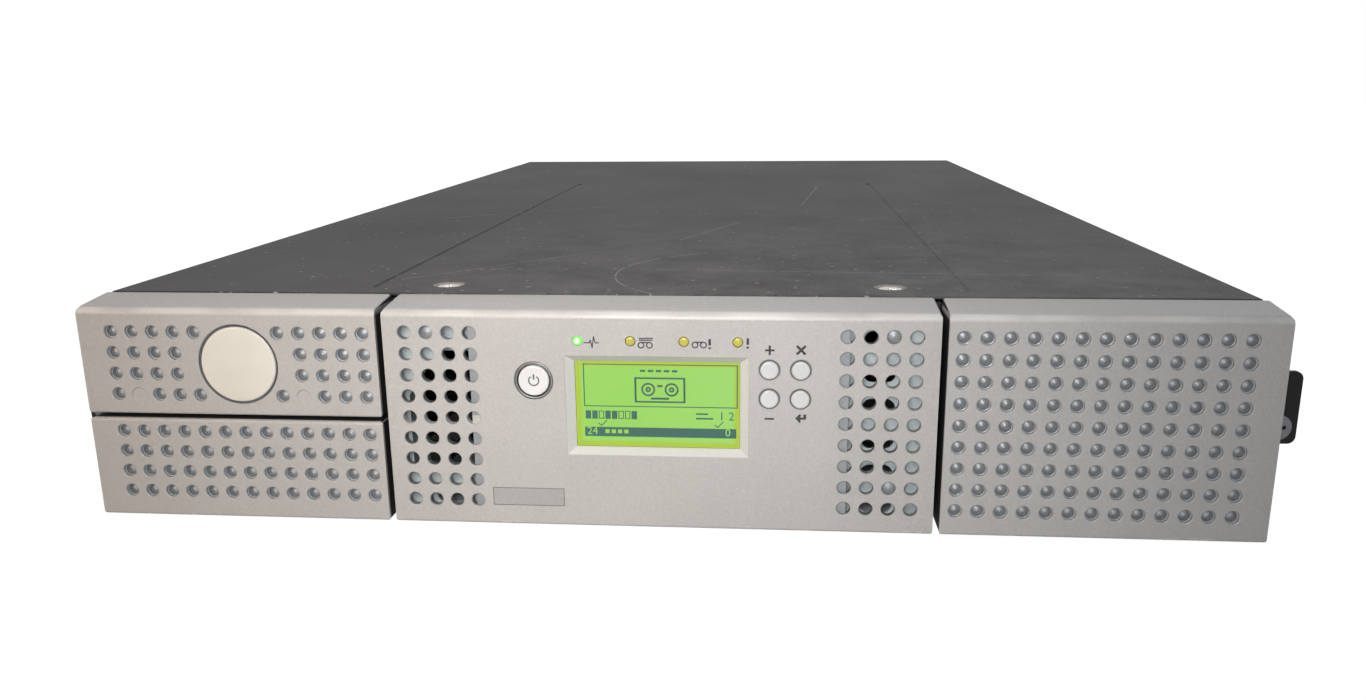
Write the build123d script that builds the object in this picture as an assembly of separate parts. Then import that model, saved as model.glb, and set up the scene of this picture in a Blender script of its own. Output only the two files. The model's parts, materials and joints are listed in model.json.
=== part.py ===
"""A 2U rack-mount data tape library: chassis, two pull-out cartridge magazines, an I/O station,
a control panel, a robot that travels between the magazines, a drive sled and a power supply.
Every piece is written to parts/ as its own STEP file. Millimetres, +X to the right of someone
facing the front, +Y to the rear, +Z up; the origin is under the middle of the whole object."""

from build123d import *

import math
import os

# Overall sizes of the library.
CHASSIS_DEPTH = 740.0
BASE_SHEET = 1.2
COVER_SHEET = 1.0
COVER_HEADROOM = 2.6
REAR_REACH = 30.0
RUNNING_GAP = 0.3
PANEL_GAP = 0.5
SHAFT_CLEARANCE = 0.05

# Front bezels.
BEZEL_OVERHANG = 3.5
BEZEL_DEPTH = 20.0
BEZEL_FLOOR_GAP = 0.6
BEZEL_RIDGE_DROP = 2.6
BEZEL_BACK_DROP = 0.4
BEZEL_WALL = 2.4
BEZEL_FRONT_WALL = 3.2
BEZEL_TOP_RADIUS = 3.0
BEZEL_EDGE_RADIUS = 1.2
SEAM = 2.6
SPLIT_TOP = 41.0
SPLIT_GAP = 1.8
BUTTON_PROUD = 0.7

# Perforations of the bezels.
HOLE_RADIUS = 2.6
HOLE_SIDES = 8
HOLE_PITCH = 8.28
DIMPLE_DEPTH = 1.9
BLIND_DEPTH = 1.1
FILLED_DEPTH = 0.5
SIDE_COLUMNS = 13
SIDE_INNER_MARGIN = 5.4
FULL_ROWS = 9
FULL_TOP_MARGIN = 8.6
VENT_COLUMNS = 4
VENT_EDGE_MARGIN = 8.4
VENT_RIB = (6.0, 0.9)
VENT_RIB_SETBACK = 1.6
VENT_RIB_MARGIN = 5.0
LEFT_BLIND_VENTS = ((1, 0),)
RIGHT_BLIND_VENTS = ((1, 0), (1, 7))
FILLED_DIMPLES = ((3, 3), (11, 3))
HALF_ROWS = 4
UPPER_TOP_MARGIN = 9.5
LOWER_TOP_ROW = 35.7
BADGE_RADIUS = 14.8
BADGE_RECESS_RADIUS = 15.7
BADGE_RECESS_DEPTH = 1.4
BADGE_PROUD = 0.3
BADGE_KEEP_CLEAR = 3.0

# Control panel.
DISPLAY_CENTRE = (0.0, 48.9)
DISPLAY_MOUTH = (68.8, 38.9)
DISPLAY_OPENING = (62.0, 33.6)
DISPLAY_RECESS = 2.6
DISPLAY_MODULE = (72.0, 42.0, 4.6)
WINDOW_THICKNESS = 0.5
LED_START = -29.2
LED_PITCH = 19.8
LED_RISE = 5.65
LED_RADIUS = 1.8
LED_PROUD = 0.3
POWER_INSET = 11.8
POWER_Z = 58.4
POWER_RING_RADIUS = 7.8
POWER_RING_DEPTH = 1.2
POWER_CAP_RADIUS = 6.3
KEY_INSET = 7.4
KEY_SPREAD = (11.4, 11.0)
KEY_TOP = 63.7
KEYS_TO_VENTS = 16.76
KEY_RADIUS = 3.6
KEY_CLEARANCE = 0.3
KEY_TRAVEL = 0.8
KEY_FLANGE = 1.0
KEY_FLANGE_DEPTH = 1.0
BOARD_SETBACK = 9.4
BOARD_SHEET = 1.6
BOARD_MARGIN_X = (13.8, 8.8)
BOARD_REACH_Z = (22.9, 31.1)
BOARD_POST_RADIUS = 2.5
BOARD_POST_INSET = 4.0
SWITCH_SIZE = 5.0
SWITCH_HEIGHT = 1.0

# Cartridge slots, their magazines and the tracks that these run in.
CARTRIDGE = (105.4, 102.0, 21.5)
SLOT_CLEARANCE = (2.0, 2.0, 0.9)
COLUMNS = 4
ROWS = 3
DIVIDER = 3.0
SHELF = 1.6
SLOT_FLOOR = 12.0
SLOT_SETBACK = 12.0
MAGAZINE_WALL = 2.2
MAGAZINE_FLOOR = 2.0
MAGAZINE_ROOF = 1.6
MAGAZINE_FRONT_WALL = 3.0
MAGAZINE_SIDE_GAP = 0.7
RUNNER_INSET = (9.5, 18.1)
RUNNER_WIDTH = 4.0
TRACK_SHEET = 1.2
TRACK_LIP = 4.8
TRACK_SIDE_GAP = 0.5
NOTCH_WIDTH = 58.0
NOTCH_DEPTH = 14.0
SPRING_SHEET = 0.4
SPRING_WIDTH = 12.0
SPRING_RISE = 1.6
IO_TRAY_WALL = 1.8
IO_TRAY_REAR_WALL = 1.4
BOSS_RADIUS = 3.0
BOSS_MARGIN = 9.0

# Sheet behind the control panel, which steps forward to the vents.
BULKHEAD_STEP_SETBACK = 7.0
BULKHEAD_STEP_MARGIN = 4.7
BULKHEAD_STEP_BOTTOM = 4.0
BULKHEAD_STEP_DROP = 3.6
BULKHEAD_SIDE_GAP = 3.0
BULKHEAD_FLANGE = 30.0
BULKHEAD_SLOT = (12.0, 6.6)
BULKHEAD_SLOT_PITCH = 12.95
BULKHEAD_SLOT_Z = 9.2
BULKHEAD_SLOT_ROWS = 6
BULKHEAD_WINDOW_REACH = 14.5
BULKHEAD_WINDOW_Z = (21.5, 68.0)
BULKHEAD_WINDOW_CORNER = (13.0, 18.0)

# Robot that carries a cartridge between the magazines and the drive.
HOME_COLUMN = 2
CARRIAGE_TO_MOUTH = 14.5
CARRIAGE_FRONT = 56.0
CARRIAGE_BACK = 78.0
CARRIAGE_SHEET = 2.0
CARRIAGE_BOTTOM = 2.5
COLUMN_LINE = 66.0
ROD_TO_MOUTH = 9.0
ROD_Z = 6.0
ROD_RADIUS = 2.5
BEARING_HALF_WIDTH = 4.5
BEARING_LENGTH = 20.0
BEARING_TOP = 9.4
ROD_TAB = 2.0
GEAR_MODULE = 1.25
PINION_TEETH = 16
GEAR_BACKLASH = 0.24
PRESSURE_ANGLE = 20.0
RACK_TO_MOUTH = 5.5
RACK_DEPTH = 4.75
GEAR_Z = (5.0, 9.0)
MOTOR_RADIUS = 10.0
MOTOR_HEIGHT = 22.0
MOTOR_FLANGE = 2.4
MOTOR_FLANGE_REACH = 14.25
PINION_SHAFT_RADIUS = 2.0
POST_X = 64.0
POST_RADIUS = 4.0
POST_BUSH_RADIUS = 7.0
POST_BUSH_HEIGHT = 12.0
BRACE_HEADROOM = 2.6
BRACE_SHEET = 2.0
SCREW_TO_MOUTH = 24.5
SCREW_RADIUS = 3.0
SCREW_NUT_RADIUS = 6.0
SCREW_NUT_HEIGHT = 10.0
LIFT_MOTOR_HEIGHT = 16.0
LIFT_SHAFT_RADIUS = 1.5
LIFT_SHAFT_LENGTH = 6.0
PLATFORM_SHEET = 2.0
PLATFORM_LIFT_GAP = 0.5
PLATFORM_RADIUS = 46.0
PLATFORM_NECK = 30.0
BEAM_HALF = 8.0
TRAY_HALF_WIDTH = 56.0
TRAY_HALF_LENGTH = 59.0
TRAY_SHEET = 2.0
TRAY_GUIDE = 2.0
TRAY_GUIDE_HEIGHT = 16.0
PIVOT_RADIUS = 10.0
FORK_SPREAD = 20.0
FORK_WIDTH = 7.0
FORK_SHEET = 2.0
FORK_BAR = (80.0, 10.0, 6.4)
FORK_HOOK = (3.0, 3.4)
READER = (9.0, 12.0, 12.0)

# Tape drive and its sled.
DRIVE_FRONT = 160.0
DRIVE_WIDTH = 146.0
DRIVE_HEADROOM = 1.7
DRIVE_BACK_GAP = 2.0
DRIVE_MOUTH = (107.0, 23.5)
DRIVE_MOUTH_DEPTH = 95.0
DRIVE_WALL = 1.6
SLED_SHEET = 1.2
SLED_SIDE_GAP = 1.8
SLED_WALL_HEIGHT = 40.0
SLED_PLATE_HALF_WIDTH = 88.0
SLED_LIFT = 0.3
GUIDE_WALL = 2.0
GUIDE_HEIGHT = 24.0
GUIDE_SETBACK = 20.0
HANDLE_BAR = 7.0
THUMBSCREW_RADIUS = 6.5
THUMBSCREW_LENGTH = 13.0
THUMBSCREW_INSET = 9.0
THUMBSCREW_Z = 12.0
SLED_HANDLE_INSET = 28.0
SLED_HANDLE_MARGIN = (22.0, 11.6)
SLED_SLOT = (16.0, 4.4)
SLED_SLOT_PITCH = (22.0, 7.6)
SLED_SLOT_START = (-52.0, 46.0)
HOST_PORT = (24.0, 5.0, 10.0)
HOST_PORT_X = (-58.0, -24.0)
HOST_PORT_Z = 14.0

# Power supply, its fan and the controller card.
SUPPLY_WIDTH = 99.0
SUPPLY_TO_WALL = 6.8
SUPPLY_HEADROOM = 5.1
SUPPLY_LENGTH = 160.0
SUPPLY_SHEET = 1.2
SUPPLY_PLATE_MARGIN = 3.0
SUPPLY_HANDLE_INSET = 24.0
SUPPLY_HANDLE_Z = (8.0, 44.0)
SUPPLY_HANDLE_BAR = 5.6
SUPPLY_HANDLE_REACH = 21.375
FAN_INSET = 28.0
FAN_Z = 44.0
FAN_FRAME = 40.0
FAN_DEPTH = 15.0
FAN_HUB_RADIUS = 8.5
FAN_BLADE_RADIUS = 17.8
FAN_BORE_RADIUS = 18.6
FAN_BLADES = 7
FAN_BLADE_PITCH = 38.0
GUARD_RINGS = (6.0, 11.0, 16.0)
GUARD_RING_WIDTH = 1.4
INLET_INSET = 24.0
INLET_Z = 62.0
INLET_FLANGE = (30.0, 24.0)
INLET_CAVITY = (24.0, 16.0, 17.0)
INLET_BODY_DEPTH = 20.0
INLET_FLANGE_SHEET = 2.0
INLET_PINS = ((-7.0, -2.0), (0.0, 2.0), (7.0, -2.0))
INLET_PIN_LENGTH = 9.0
CARD_WIDTH = 102.0
CARD_TO_WALL = 4.8
CARD_DEPTH = 130.0
CARD_Z = 12.0
FACEPLATE_Z = (5.0, 47.0)
REAR_SLOT = (22.0, 5.0)
REAR_SLOT_PITCH = 10.0
REAR_SLOT_INSET = 11.0
REAR_SLOT_DROP = 21.6
JACK_INSET = 24.0
JACK = (16.0, 14.0, 21.0)
JACK_CAVITY = (11.8, 8.0, 12.0)
USB_INSET = 46.0
USB = (8.0, 15.0, 14.0)
USB_CAVITY = (5.2, 12.4, 9.0)

# Rack ears and fasteners.
EAR_EDGE = 8.75
EAR_SHEET = 2.0
EAR_SETBACK = 25.6
EAR_LENGTH = 50.0
EAR_Z = (30.4, 59.0)
EAR_CORNER = 3.0
EAR_HOLE_REACH = 12.55
EAR_HOLE_Z = 50.8
EAR_HOLE_RADIUS = 3.5
EAR_SCREW_Z = 38.1
EAR_SCREW_RADIUS = 2.5
EAR_SCREW_HEAD = (5.0, 4.0)
EAR_SCREW_LENGTH = 12.0
EAR_WALL_HEAD = (4.0, 1.2)
COVER_SCREW_INSET = 20.0
COVER_SCREW_SETBACK = 19.0
COVER_SCREW_RADIUS = 4.6
COVER_DIMPLE_RADIUS = 6.4
COVER_SCREW_SHANK = 1.75
COVER_SCREW_SUNK = 0.7
RECESS_LENGTH = 1.1
RECESS_WIDTH = 0.26
COVER_BEAD_OFFSET = 8.0
COVER_BEAD_WIDTH = 3.0
COVER_BEAD_DEPTH = 0.4
COVER_BEAD_SPAN = (12.0, 470.0)
COVER_NOTCH = (88.4, 2.4)
COVER_NOTCH_DROP = 3.0
COVER_LIP = 12.0
SIDE_SCREW_RADIUS = 3.0
SIDE_SCREW_HEAD = 1.1
SIDE_SCREW_MARGIN = 60.0

# Places worked out from the sizes above: the rows of cartridges set the height.
SLOT = tuple(size + gap for size, gap in zip(CARTRIDGE, SLOT_CLEARANCE))
COLUMN_PITCH = SLOT[1] + DIVIDER
ROW_PITCH = SLOT[2] + SHELF
MAGAZINE_CEILING = SLOT_FLOOR + ROWS * ROW_PITCH - SHELF
COVER_UNDER = MAGAZINE_CEILING + MAGAZINE_ROOF + COVER_HEADROOM
CHASSIS_HEIGHT = COVER_UNDER + COVER_SHEET
BEZEL_RIDGE = CHASSIS_HEIGHT - BEZEL_RIDGE_DROP
BEZEL_BACK_TOP = CHASSIS_HEIGHT - BEZEL_BACK_DROP
FULL_TOP_ROW = BEZEL_RIDGE - FULL_TOP_MARGIN
UPPER_TOP_ROW = BEZEL_RIDGE - UPPER_TOP_MARGIN
BOARD_Z = (DISPLAY_CENTRE[1] - BOARD_REACH_Z[0], DISPLAY_CENTRE[1] + BOARD_REACH_Z[1])
BULKHEAD_STEP_Z = (BULKHEAD_STEP_BOTTOM, BEZEL_RIDGE - BULKHEAD_STEP_DROP)
BRACE_BOTTOM = COVER_UNDER - BRACE_HEADROOM - BRACE_SHEET
SLED_HANDLE_Z = (SLED_HANDLE_MARGIN[0], CHASSIS_HEIGHT - SLED_HANDLE_MARGIN[1])
DRIVE_HEIGHT = COVER_UNDER - DRIVE_HEADROOM - BASE_SHEET - SLED_LIFT - SLED_SHEET
SUPPLY_Z = (BASE_SHEET + SLED_LIFT, COVER_UNDER - SUPPLY_HEADROOM)
REAR_SLOT_Z = CHASSIS_HEIGHT - REAR_SLOT_DROP
SIDE_SCREWS = (SIDE_SCREW_MARGIN, CHASSIS_DEPTH / 2, CHASSIS_DEPTH - SIDE_SCREW_MARGIN)
KEY_X = DISPLAY_CENTRE[0] + DISPLAY_MOUTH[0] / 2 + KEY_INSET
VENT_INNER_X = KEY_X + KEY_SPREAD[0] + KEYS_TO_VENTS
CENTRE_BEZEL_WIDTH = 2 * (VENT_INNER_X + HOLE_PITCH * (VENT_COLUMNS - 1) + VENT_EDGE_MARGIN)
POWER_CENTRE = (DISPLAY_CENTRE[0] - DISPLAY_MOUTH[0] / 2 - POWER_INSET, POWER_Z)
KEY_CENTRES = {
    "plus_button": (KEY_X, KEY_TOP),
    "cancel_button": (KEY_X + KEY_SPREAD[0], KEY_TOP),
    "minus_button": (KEY_X, KEY_TOP - KEY_SPREAD[1]),
    "enter_button": (KEY_X + KEY_SPREAD[0], KEY_TOP - KEY_SPREAD[1]),
}
BOARD_X = (POWER_CENTRE[0] - BOARD_MARGIN_X[0], KEY_X + KEY_SPREAD[0] + BOARD_MARGIN_X[1])
LED_X = tuple(LED_START + LED_PITCH * lamp for lamp in range(4))
LED_Z = DISPLAY_CENTRE[1] + DISPLAY_MOUTH[1] / 2 + LED_RISE
TOTAL_LENGTH = BUTTON_PROUD + BEZEL_DEPTH + CHASSIS_DEPTH + REAR_REACH
FRONT = BUTTON_PROUD - TOTAL_LENGTH / 2
CHASSIS_FRONT = FRONT + BEZEL_DEPTH
CHASSIS_BACK = CHASSIS_FRONT + CHASSIS_DEPTH
MOUTH_X = CENTRE_BEZEL_WIDTH / 2 + SEAM + BEZEL_WALL + RUNNING_GAP
SLOT_START = CHASSIS_FRONT + SLOT_SETBACK
SLOT_END_X = MOUTH_X + SLOT[0]
MAGAZINE_OUTER_X = SLOT_END_X + MAGAZINE_WALL
WALL_INNER = MAGAZINE_OUTER_X + MAGAZINE_SIDE_GAP
WALL_OUTER = WALL_INNER + BASE_SHEET
BEZEL_WIDTH = 2 * (WALL_OUTER + BEZEL_OVERHANG)
EAR_HOLE_SPAN = 2 * (WALL_OUTER + EAR_HOLE_REACH)
EAR_SPAN = EAR_HOLE_SPAN + 2 * EAR_EDGE
RUNNER_X = (MOUTH_X + RUNNER_INSET[0], MAGAZINE_OUTER_X - RUNNER_INSET[1])
COVER_SCREW_X = MOUTH_X - COVER_SCREW_INSET
COVER_BEAD_X = MOUTH_X + COVER_BEAD_OFFSET
SUPPLY_X = (WALL_INNER - SUPPLY_TO_WALL - SUPPLY_WIDTH, WALL_INNER - SUPPLY_TO_WALL)
FAN_CENTRE = (SUPPLY_X[0] + FAN_INSET, FAN_Z)
INLET_CENTRE = (SUPPLY_X[1] - INLET_INSET, INLET_Z)
CARD_X = (CARD_TO_WALL - WALL_INNER, CARD_TO_WALL - WALL_INNER + CARD_WIDTH)
JACK_X = CARD_X[0] + JACK_INSET
USB_X = CARD_X[0] + USB_INSET
MAGAZINE_BACK = SLOT_START + COLUMNS * COLUMN_PITCH - DIVIDER
MAGAZINE_BOTTOM = BASE_SHEET + TRACK_SHEET + RUNNING_GAP
TRACK_TOP = BASE_SHEET + TRACK_LIP
FRAME_FRONT = CHASSIS_FRONT - MAGAZINE_FRONT_WALL
CARRIAGE_Y = SLOT_START + SLOT[1] / 2 + HOME_COLUMN * COLUMN_PITCH
CARRIAGE_TOP = CARRIAGE_BOTTOM + CARRIAGE_SHEET
PINION_RADIUS = GEAR_MODULE * PINION_TEETH / 2
CARRIAGE_HALF_WIDTH = MOUTH_X - CARRIAGE_TO_MOUTH
ROD_X = ROD_TO_MOUTH - MOUTH_X
RACK_BACK_X = MOUTH_X - RACK_TO_MOUTH
RACK_PITCH_X = RACK_BACK_X - RACK_DEPTH
PINION_X = RACK_PITCH_X - PINION_RADIUS
MOTOR_FLANGE_INNER_X = PINION_X - MOTOR_FLANGE_REACH
SCREW_X = SCREW_TO_MOUTH - MOUTH_X
COLUMN_Y = CARRIAGE_Y + COLUMN_LINE
AISLE_BACK = DRIVE_FRONT + 8.0
PLATFORM_BOTTOM = CARRIAGE_TOP + PLATFORM_LIFT_GAP
PLATFORM_TOP = PLATFORM_BOTTOM + PLATFORM_SHEET
TRAY_BOTTOM = PLATFORM_TOP + RUNNING_GAP
TRAY_TOP = TRAY_BOTTOM + TRAY_SHEET
FORK_BOTTOM = TRAY_TOP + RUNNING_GAP


def block(x, y, z):
    """A rectangular solid between a low and a high value on each axis."""
    spans = [sorted(span) for span in (x, y, z)]
    size = [high - low for low, high in spans]
    return Pos(*[(high + low) / 2 for low, high in spans]) * Box(*size)


def rod_x(x, y, z, radius):
    """A cylinder along X between the two values in x."""
    return Pos(sum(x) / 2, y, z) * Rot(0, 90, 0) * Cylinder(radius, abs(x[1] - x[0]))


def rod_y(x, y, z, radius):
    """A cylinder along Y between the two values in y."""
    return Pos(x, sum(y) / 2, z) * Rot(90, 0, 0) * Cylinder(radius, abs(y[1] - y[0]))


def rod_z(x, y, z, radius):
    """A cylinder along Z between the two values in z."""
    return Pos(x, y, sum(z) / 2) * Cylinder(radius, abs(z[1] - z[0]))


def facing(y):
    """A drawing plane at depth y that a viewer in front of the library sees as X and Z."""
    return Plane(origin=(0, y, 0), x_dir=(1, 0, 0), z_dir=(0, -1, 0))


def write(name, *solids):
    """Writes one named piece, or a group of separate identical ones, to its STEP file."""
    shape = solids[0] if len(solids) == 1 else Compound(children=list(solids))
    export_step(shape, f"parts/{name}.step")


def across(side, low, high):
    """The X span of a feature that lies between low and high on the given side."""
    return (side * low, side * high)


def bezel_body(x, low, ridge, back_top, depth, inset=0.0):
    """The closed outline of a bezel between x[0] and x[1], or its hollow when inset is given."""
    front = FRONT + (BEZEL_FRONT_WALL if inset else 0.0)
    back = FRONT + depth + inset
    slope = (back_top - ridge) / depth
    top_front = ridge - inset + slope * (front - FRONT)
    top_back = ridge - inset + slope * (back - FRONT)
    corners = [(front, low + inset), (front, top_front), (back, top_back), (back, low + inset)]
    profile = make_face(Polyline(*corners, close=True))
    if not inset:
        top_corner = profile.vertices().sort_by(Axis.Y)[-3:].sort_by(Axis.X)[0]
        radius = BEZEL_TOP_RADIUS if back_top > ridge else BEZEL_EDGE_RADIUS
        profile = fillet(top_corner, radius)
    x_low, x_high = sorted(x)
    return Pos(x_low + inset, 0, 0) * extrude(Plane.YZ * profile, x_high - x_low - 2 * inset)


def bezel_shell(x, low, ridge, back_top, depth):
    """A moulded bezel, open at the back, with its front edges softened."""
    outer = bezel_body(x, low, ridge, back_top, depth)
    ends = outer.faces().filter_by(Axis.X)
    rims = [e for face in ends for e in face.edges() if abs(e.center().Y - FRONT - depth) > 1e-3]
    outer = fillet([e for e in rims if e.center().Z > low + 1e-3], BEZEL_EDGE_RADIUS)
    return outer - bezel_body(x, low, ridge, back_top, depth, BEZEL_WALL)


def grid(x_start, x_step, columns, z_top, rows):
    """Hole centres, column by column from x_start and row by row down from z_top."""
    return [
        (x_start + x_step * column, z_top - HOLE_PITCH * row)
        for column in range(columns)
        for row in range(rows)
    ]


def punches(centres, depth):
    """Cutters for a field of perforations, from in front of the bezel to the given depth."""
    lead = 1.0
    outline = RegularPolygon(HOLE_RADIUS, HOLE_SIDES, rotation=180 / HOLE_SIDES)
    holes = [facing(FRONT - lead) * Pos(x, z) * outline for x, z in centres]
    return [extrude(hole, -(depth + lead)) for hole in holes]


def side_columns(side):
    """X of the perforation nearest the centre bezel and the step to the next, on one side."""
    inner = CENTRE_BEZEL_WIDTH / 2 + SEAM + SIDE_INNER_MARGIN
    return side * inner, side * HOLE_PITCH


def side_bezel_span(side):
    """The X span of a magazine's bezel."""
    return across(side, CENTRE_BEZEL_WIDTH / 2 + SEAM, BEZEL_WIDTH / 2)


def bosses(span, low, high, back):
    """Four round bosses inside a bezel that carry the plate behind it."""
    x_low, x_high = sorted(span)
    xs = (x_low + BOSS_MARGIN, x_high - BOSS_MARGIN)
    zs = (low + BOSS_MARGIN, high - BOSS_MARGIN)
    start = FRONT + BEZEL_FRONT_WALL
    return [rod_y(x, (start, back), z, BOSS_RADIUS) for x in xs for z in zs]


# Badge on the upper left bezel: it sits on the middle column, between the middle rows.
BADGE_X = side_columns(-1)[0] - HOLE_PITCH * (SIDE_COLUMNS // 2)
BADGE_Z = UPPER_TOP_ROW - HOLE_PITCH * 1.5
MAGAZINE_BEZEL_DEPTH = BEZEL_DEPTH - PANEL_GAP


def make_right_bezel():
    """The full-height bezel of the right magazine, with a field of blind perforations."""
    span = side_bezel_span(1)
    shell = bezel_shell(span, BEZEL_FLOOR_GAP, BEZEL_RIDGE, BEZEL_BACK_TOP, MAGAZINE_BEZEL_DEPTH)
    shell += bosses(span, MAGAZINE_BOTTOM, MAGAZINE_CEILING, FRAME_FRONT)
    start, step = side_columns(1)
    return shell - punches(grid(start, step, SIDE_COLUMNS, FULL_TOP_ROW, FULL_ROWS), DIMPLE_DEPTH)


def make_left_bezel():
    """The upper half of the left front, which belongs to the magazine and holds the badge."""
    span = side_bezel_span(-1)
    low = SPLIT_TOP + SPLIT_GAP
    shell = bezel_shell(span, low, BEZEL_RIDGE, BEZEL_BACK_TOP, MAGAZINE_BEZEL_DEPTH)
    shell += bosses(span, low, MAGAZINE_CEILING, FRAME_FRONT)
    start, step = side_columns(-1)
    holes = grid(start, step, SIDE_COLUMNS, UPPER_TOP_ROW, HALF_ROWS)
    clear = BADGE_RECESS_RADIUS + BADGE_KEEP_CLEAR
    filled = [(start + step * column, UPPER_TOP_ROW - HOLE_PITCH * row) for column, row in FILLED_DIMPLES]
    deep = [hole for hole in holes if hole not in filled]
    deep = [(x, z) for x, z in deep if math.hypot(x - BADGE_X, z - BADGE_Z) > clear]
    shell -= punches(deep, DIMPLE_DEPTH)
    shell -= punches(filled, FILLED_DEPTH)
    return shell - rod_y(BADGE_X, (FRONT - 1, FRONT + BADGE_RECESS_DEPTH), BADGE_Z, BADGE_RECESS_RADIUS)


def make_badge():
    """The plain, slightly domed disc in the left bezel."""
    seat = FRONT + BADGE_RECESS_DEPTH
    crown = FRONT - BADGE_PROUD
    rim = FRONT + BADGE_PROUD
    profile = make_face(
        Polyline((BADGE_RADIUS, rim), (BADGE_RADIUS, seat), (0, seat), (0, crown))
        + ThreePointArc((0, crown), (BADGE_RADIUS * 0.7, crown + 0.18), (BADGE_RADIUS, rim))
    )
    return Pos(BADGE_X, 0, BADGE_Z) * revolve(Plane.XY * profile, Axis.Y)


def make_io_bezel():
    """The lower half of the left front, which is the face of the I/O station."""
    span = side_bezel_span(-1)
    back = FRAME_FRONT - MAGAZINE_FRONT_WALL - RUNNING_GAP
    shell = bezel_shell(span, BEZEL_FLOOR_GAP, SPLIT_TOP, SPLIT_TOP, MAGAZINE_BEZEL_DEPTH)
    shell += bosses(span, BEZEL_FLOOR_GAP, SPLIT_TOP, back)
    start, step = side_columns(-1)
    return shell - punches(grid(start, step, SIDE_COLUMNS, LOWER_TOP_ROW, HALF_ROWS), DIMPLE_DEPTH)


def vent_centres(side):
    """One perforated vent field of the centre bezel: its open holes and its blind ones."""
    start = side * (CENTRE_BEZEL_WIDTH / 2 - VENT_EDGE_MARGIN)
    step = -side * HOLE_PITCH
    places = RIGHT_BLIND_VENTS if side > 0 else LEFT_BLIND_VENTS
    blind = [(start + step * column, FULL_TOP_ROW - HOLE_PITCH * row) for column, row in places]
    field = grid(start, step, VENT_COLUMNS, FULL_TOP_ROW, FULL_ROWS)
    return [hole for hole in field if hole not in blind], blind


def vent_rib(side):
    """The rib behind a vent field's innermost column, which closes half of each hole."""
    inward, outward = VENT_RIB
    y = (FRONT + VENT_RIB_SETBACK, FRONT + BEZEL_FRONT_WALL)
    bottom = FULL_TOP_ROW - HOLE_PITCH * (FULL_ROWS - 1) - VENT_RIB_MARGIN
    z = (bottom, FULL_TOP_ROW + VENT_RIB_MARGIN)
    return block(across(side, VENT_INNER_X - inward, VENT_INNER_X + outward), y, z)


def make_centre_bezel():
    """The control panel's moulding: vents, display frame, button and lamp holes, board posts."""
    half = CENTRE_BEZEL_WIDTH / 2
    shell = bezel_shell((-half, half), BEZEL_FLOOR_GAP, BEZEL_RIDGE, BEZEL_BACK_TOP, BEZEL_DEPTH)
    board = FRONT + BOARD_SETBACK
    posts = [(x, z) for x in BOARD_X for z in BOARD_Z]
    inwards = {x: x + math.copysign(BOARD_POST_INSET, -x) for x in BOARD_X}
    middle = sum(BOARD_Z) / 2
    for x, z in posts:
        z_in = z + math.copysign(BOARD_POST_INSET, middle - z)
        shell += rod_y(inwards[x], (FRONT + BEZEL_FRONT_WALL, board), z_in, BOARD_POST_RADIUS)
    for side in (-1, 1):
        opened, blind = vent_centres(side)
        shell -= punches(opened, BEZEL_FRONT_WALL + 1.0)
        shell -= punches(blind, BLIND_DEPTH)
        shell += vent_rib(side)
    mouth = facing(FRONT) * Pos(*DISPLAY_CENTRE) * Rectangle(*DISPLAY_MOUTH)
    opening = facing(FRONT + DISPLAY_RECESS) * Pos(*DISPLAY_CENTRE) * Rectangle(*DISPLAY_OPENING)
    shell -= loft([mouth, opening])
    through = FRONT + BEZEL_FRONT_WALL + 1.0
    shell -= extrude(opening, -(through - FRONT - DISPLAY_RECESS))
    lead = FRONT - 1.0
    shell -= [rod_y(x, (lead, through), LED_Z, LED_RADIUS + SHAFT_CLEARANCE) for x in LED_X]
    x, z = POWER_CENTRE
    shell -= rod_y(x, (lead, FRONT + POWER_RING_DEPTH), z, POWER_RING_RADIUS)
    shell -= rod_y(x, (lead, through), z, POWER_CAP_RADIUS + KEY_CLEARANCE)
    for x, z in KEY_CENTRES.values():
        shell -= rod_y(x, (lead, through), z, KEY_RADIUS + KEY_CLEARANCE)
    return shell


def make_button(centre, radius, proud):
    """A push button: its cap through the bezel and the flange that keeps it in."""
    x, z = centre
    flange = FRONT + BEZEL_FRONT_WALL + RUNNING_GAP
    cap = rod_y(x, (FRONT - proud, flange), z, radius)
    cap = fillet(cap.edges().sort_by(Axis.Y)[0], min(0.5, radius / 4))
    stem_end = FRONT + BOARD_SETBACK - SWITCH_HEIGHT - RUNNING_GAP - KEY_TRAVEL
    cap += rod_y(x, (flange, flange + KEY_FLANGE_DEPTH), z, radius + KEY_FLANGE)
    return cap + rod_y(x, (flange, stem_end), z, SWITCH_SIZE / 2)


def make_board():
    """The panel's circuit board with a low switch under each button."""
    front = FRONT + BOARD_SETBACK
    board = block(BOARD_X, (front, front + BOARD_SHEET), BOARD_Z)
    half = SWITCH_SIZE / 2
    for x, z in (POWER_CENTRE, *KEY_CENTRES.values()):
        board += block((x - half, x + half), (front - SWITCH_HEIGHT, front), (z - half, z + half))
    return board


def make_lamps(places):
    """Clear light guides, one in each of the given lamp holes."""
    back = FRONT + BOARD_SETBACK
    lamps = [rod_y(x, (FRONT - LED_PROUD, back), LED_Z, LED_RADIUS) for x in places]
    return [fillet(lamp.edges().sort_by(Axis.Y)[0], LED_PROUD * 2) for lamp in lamps]


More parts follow.
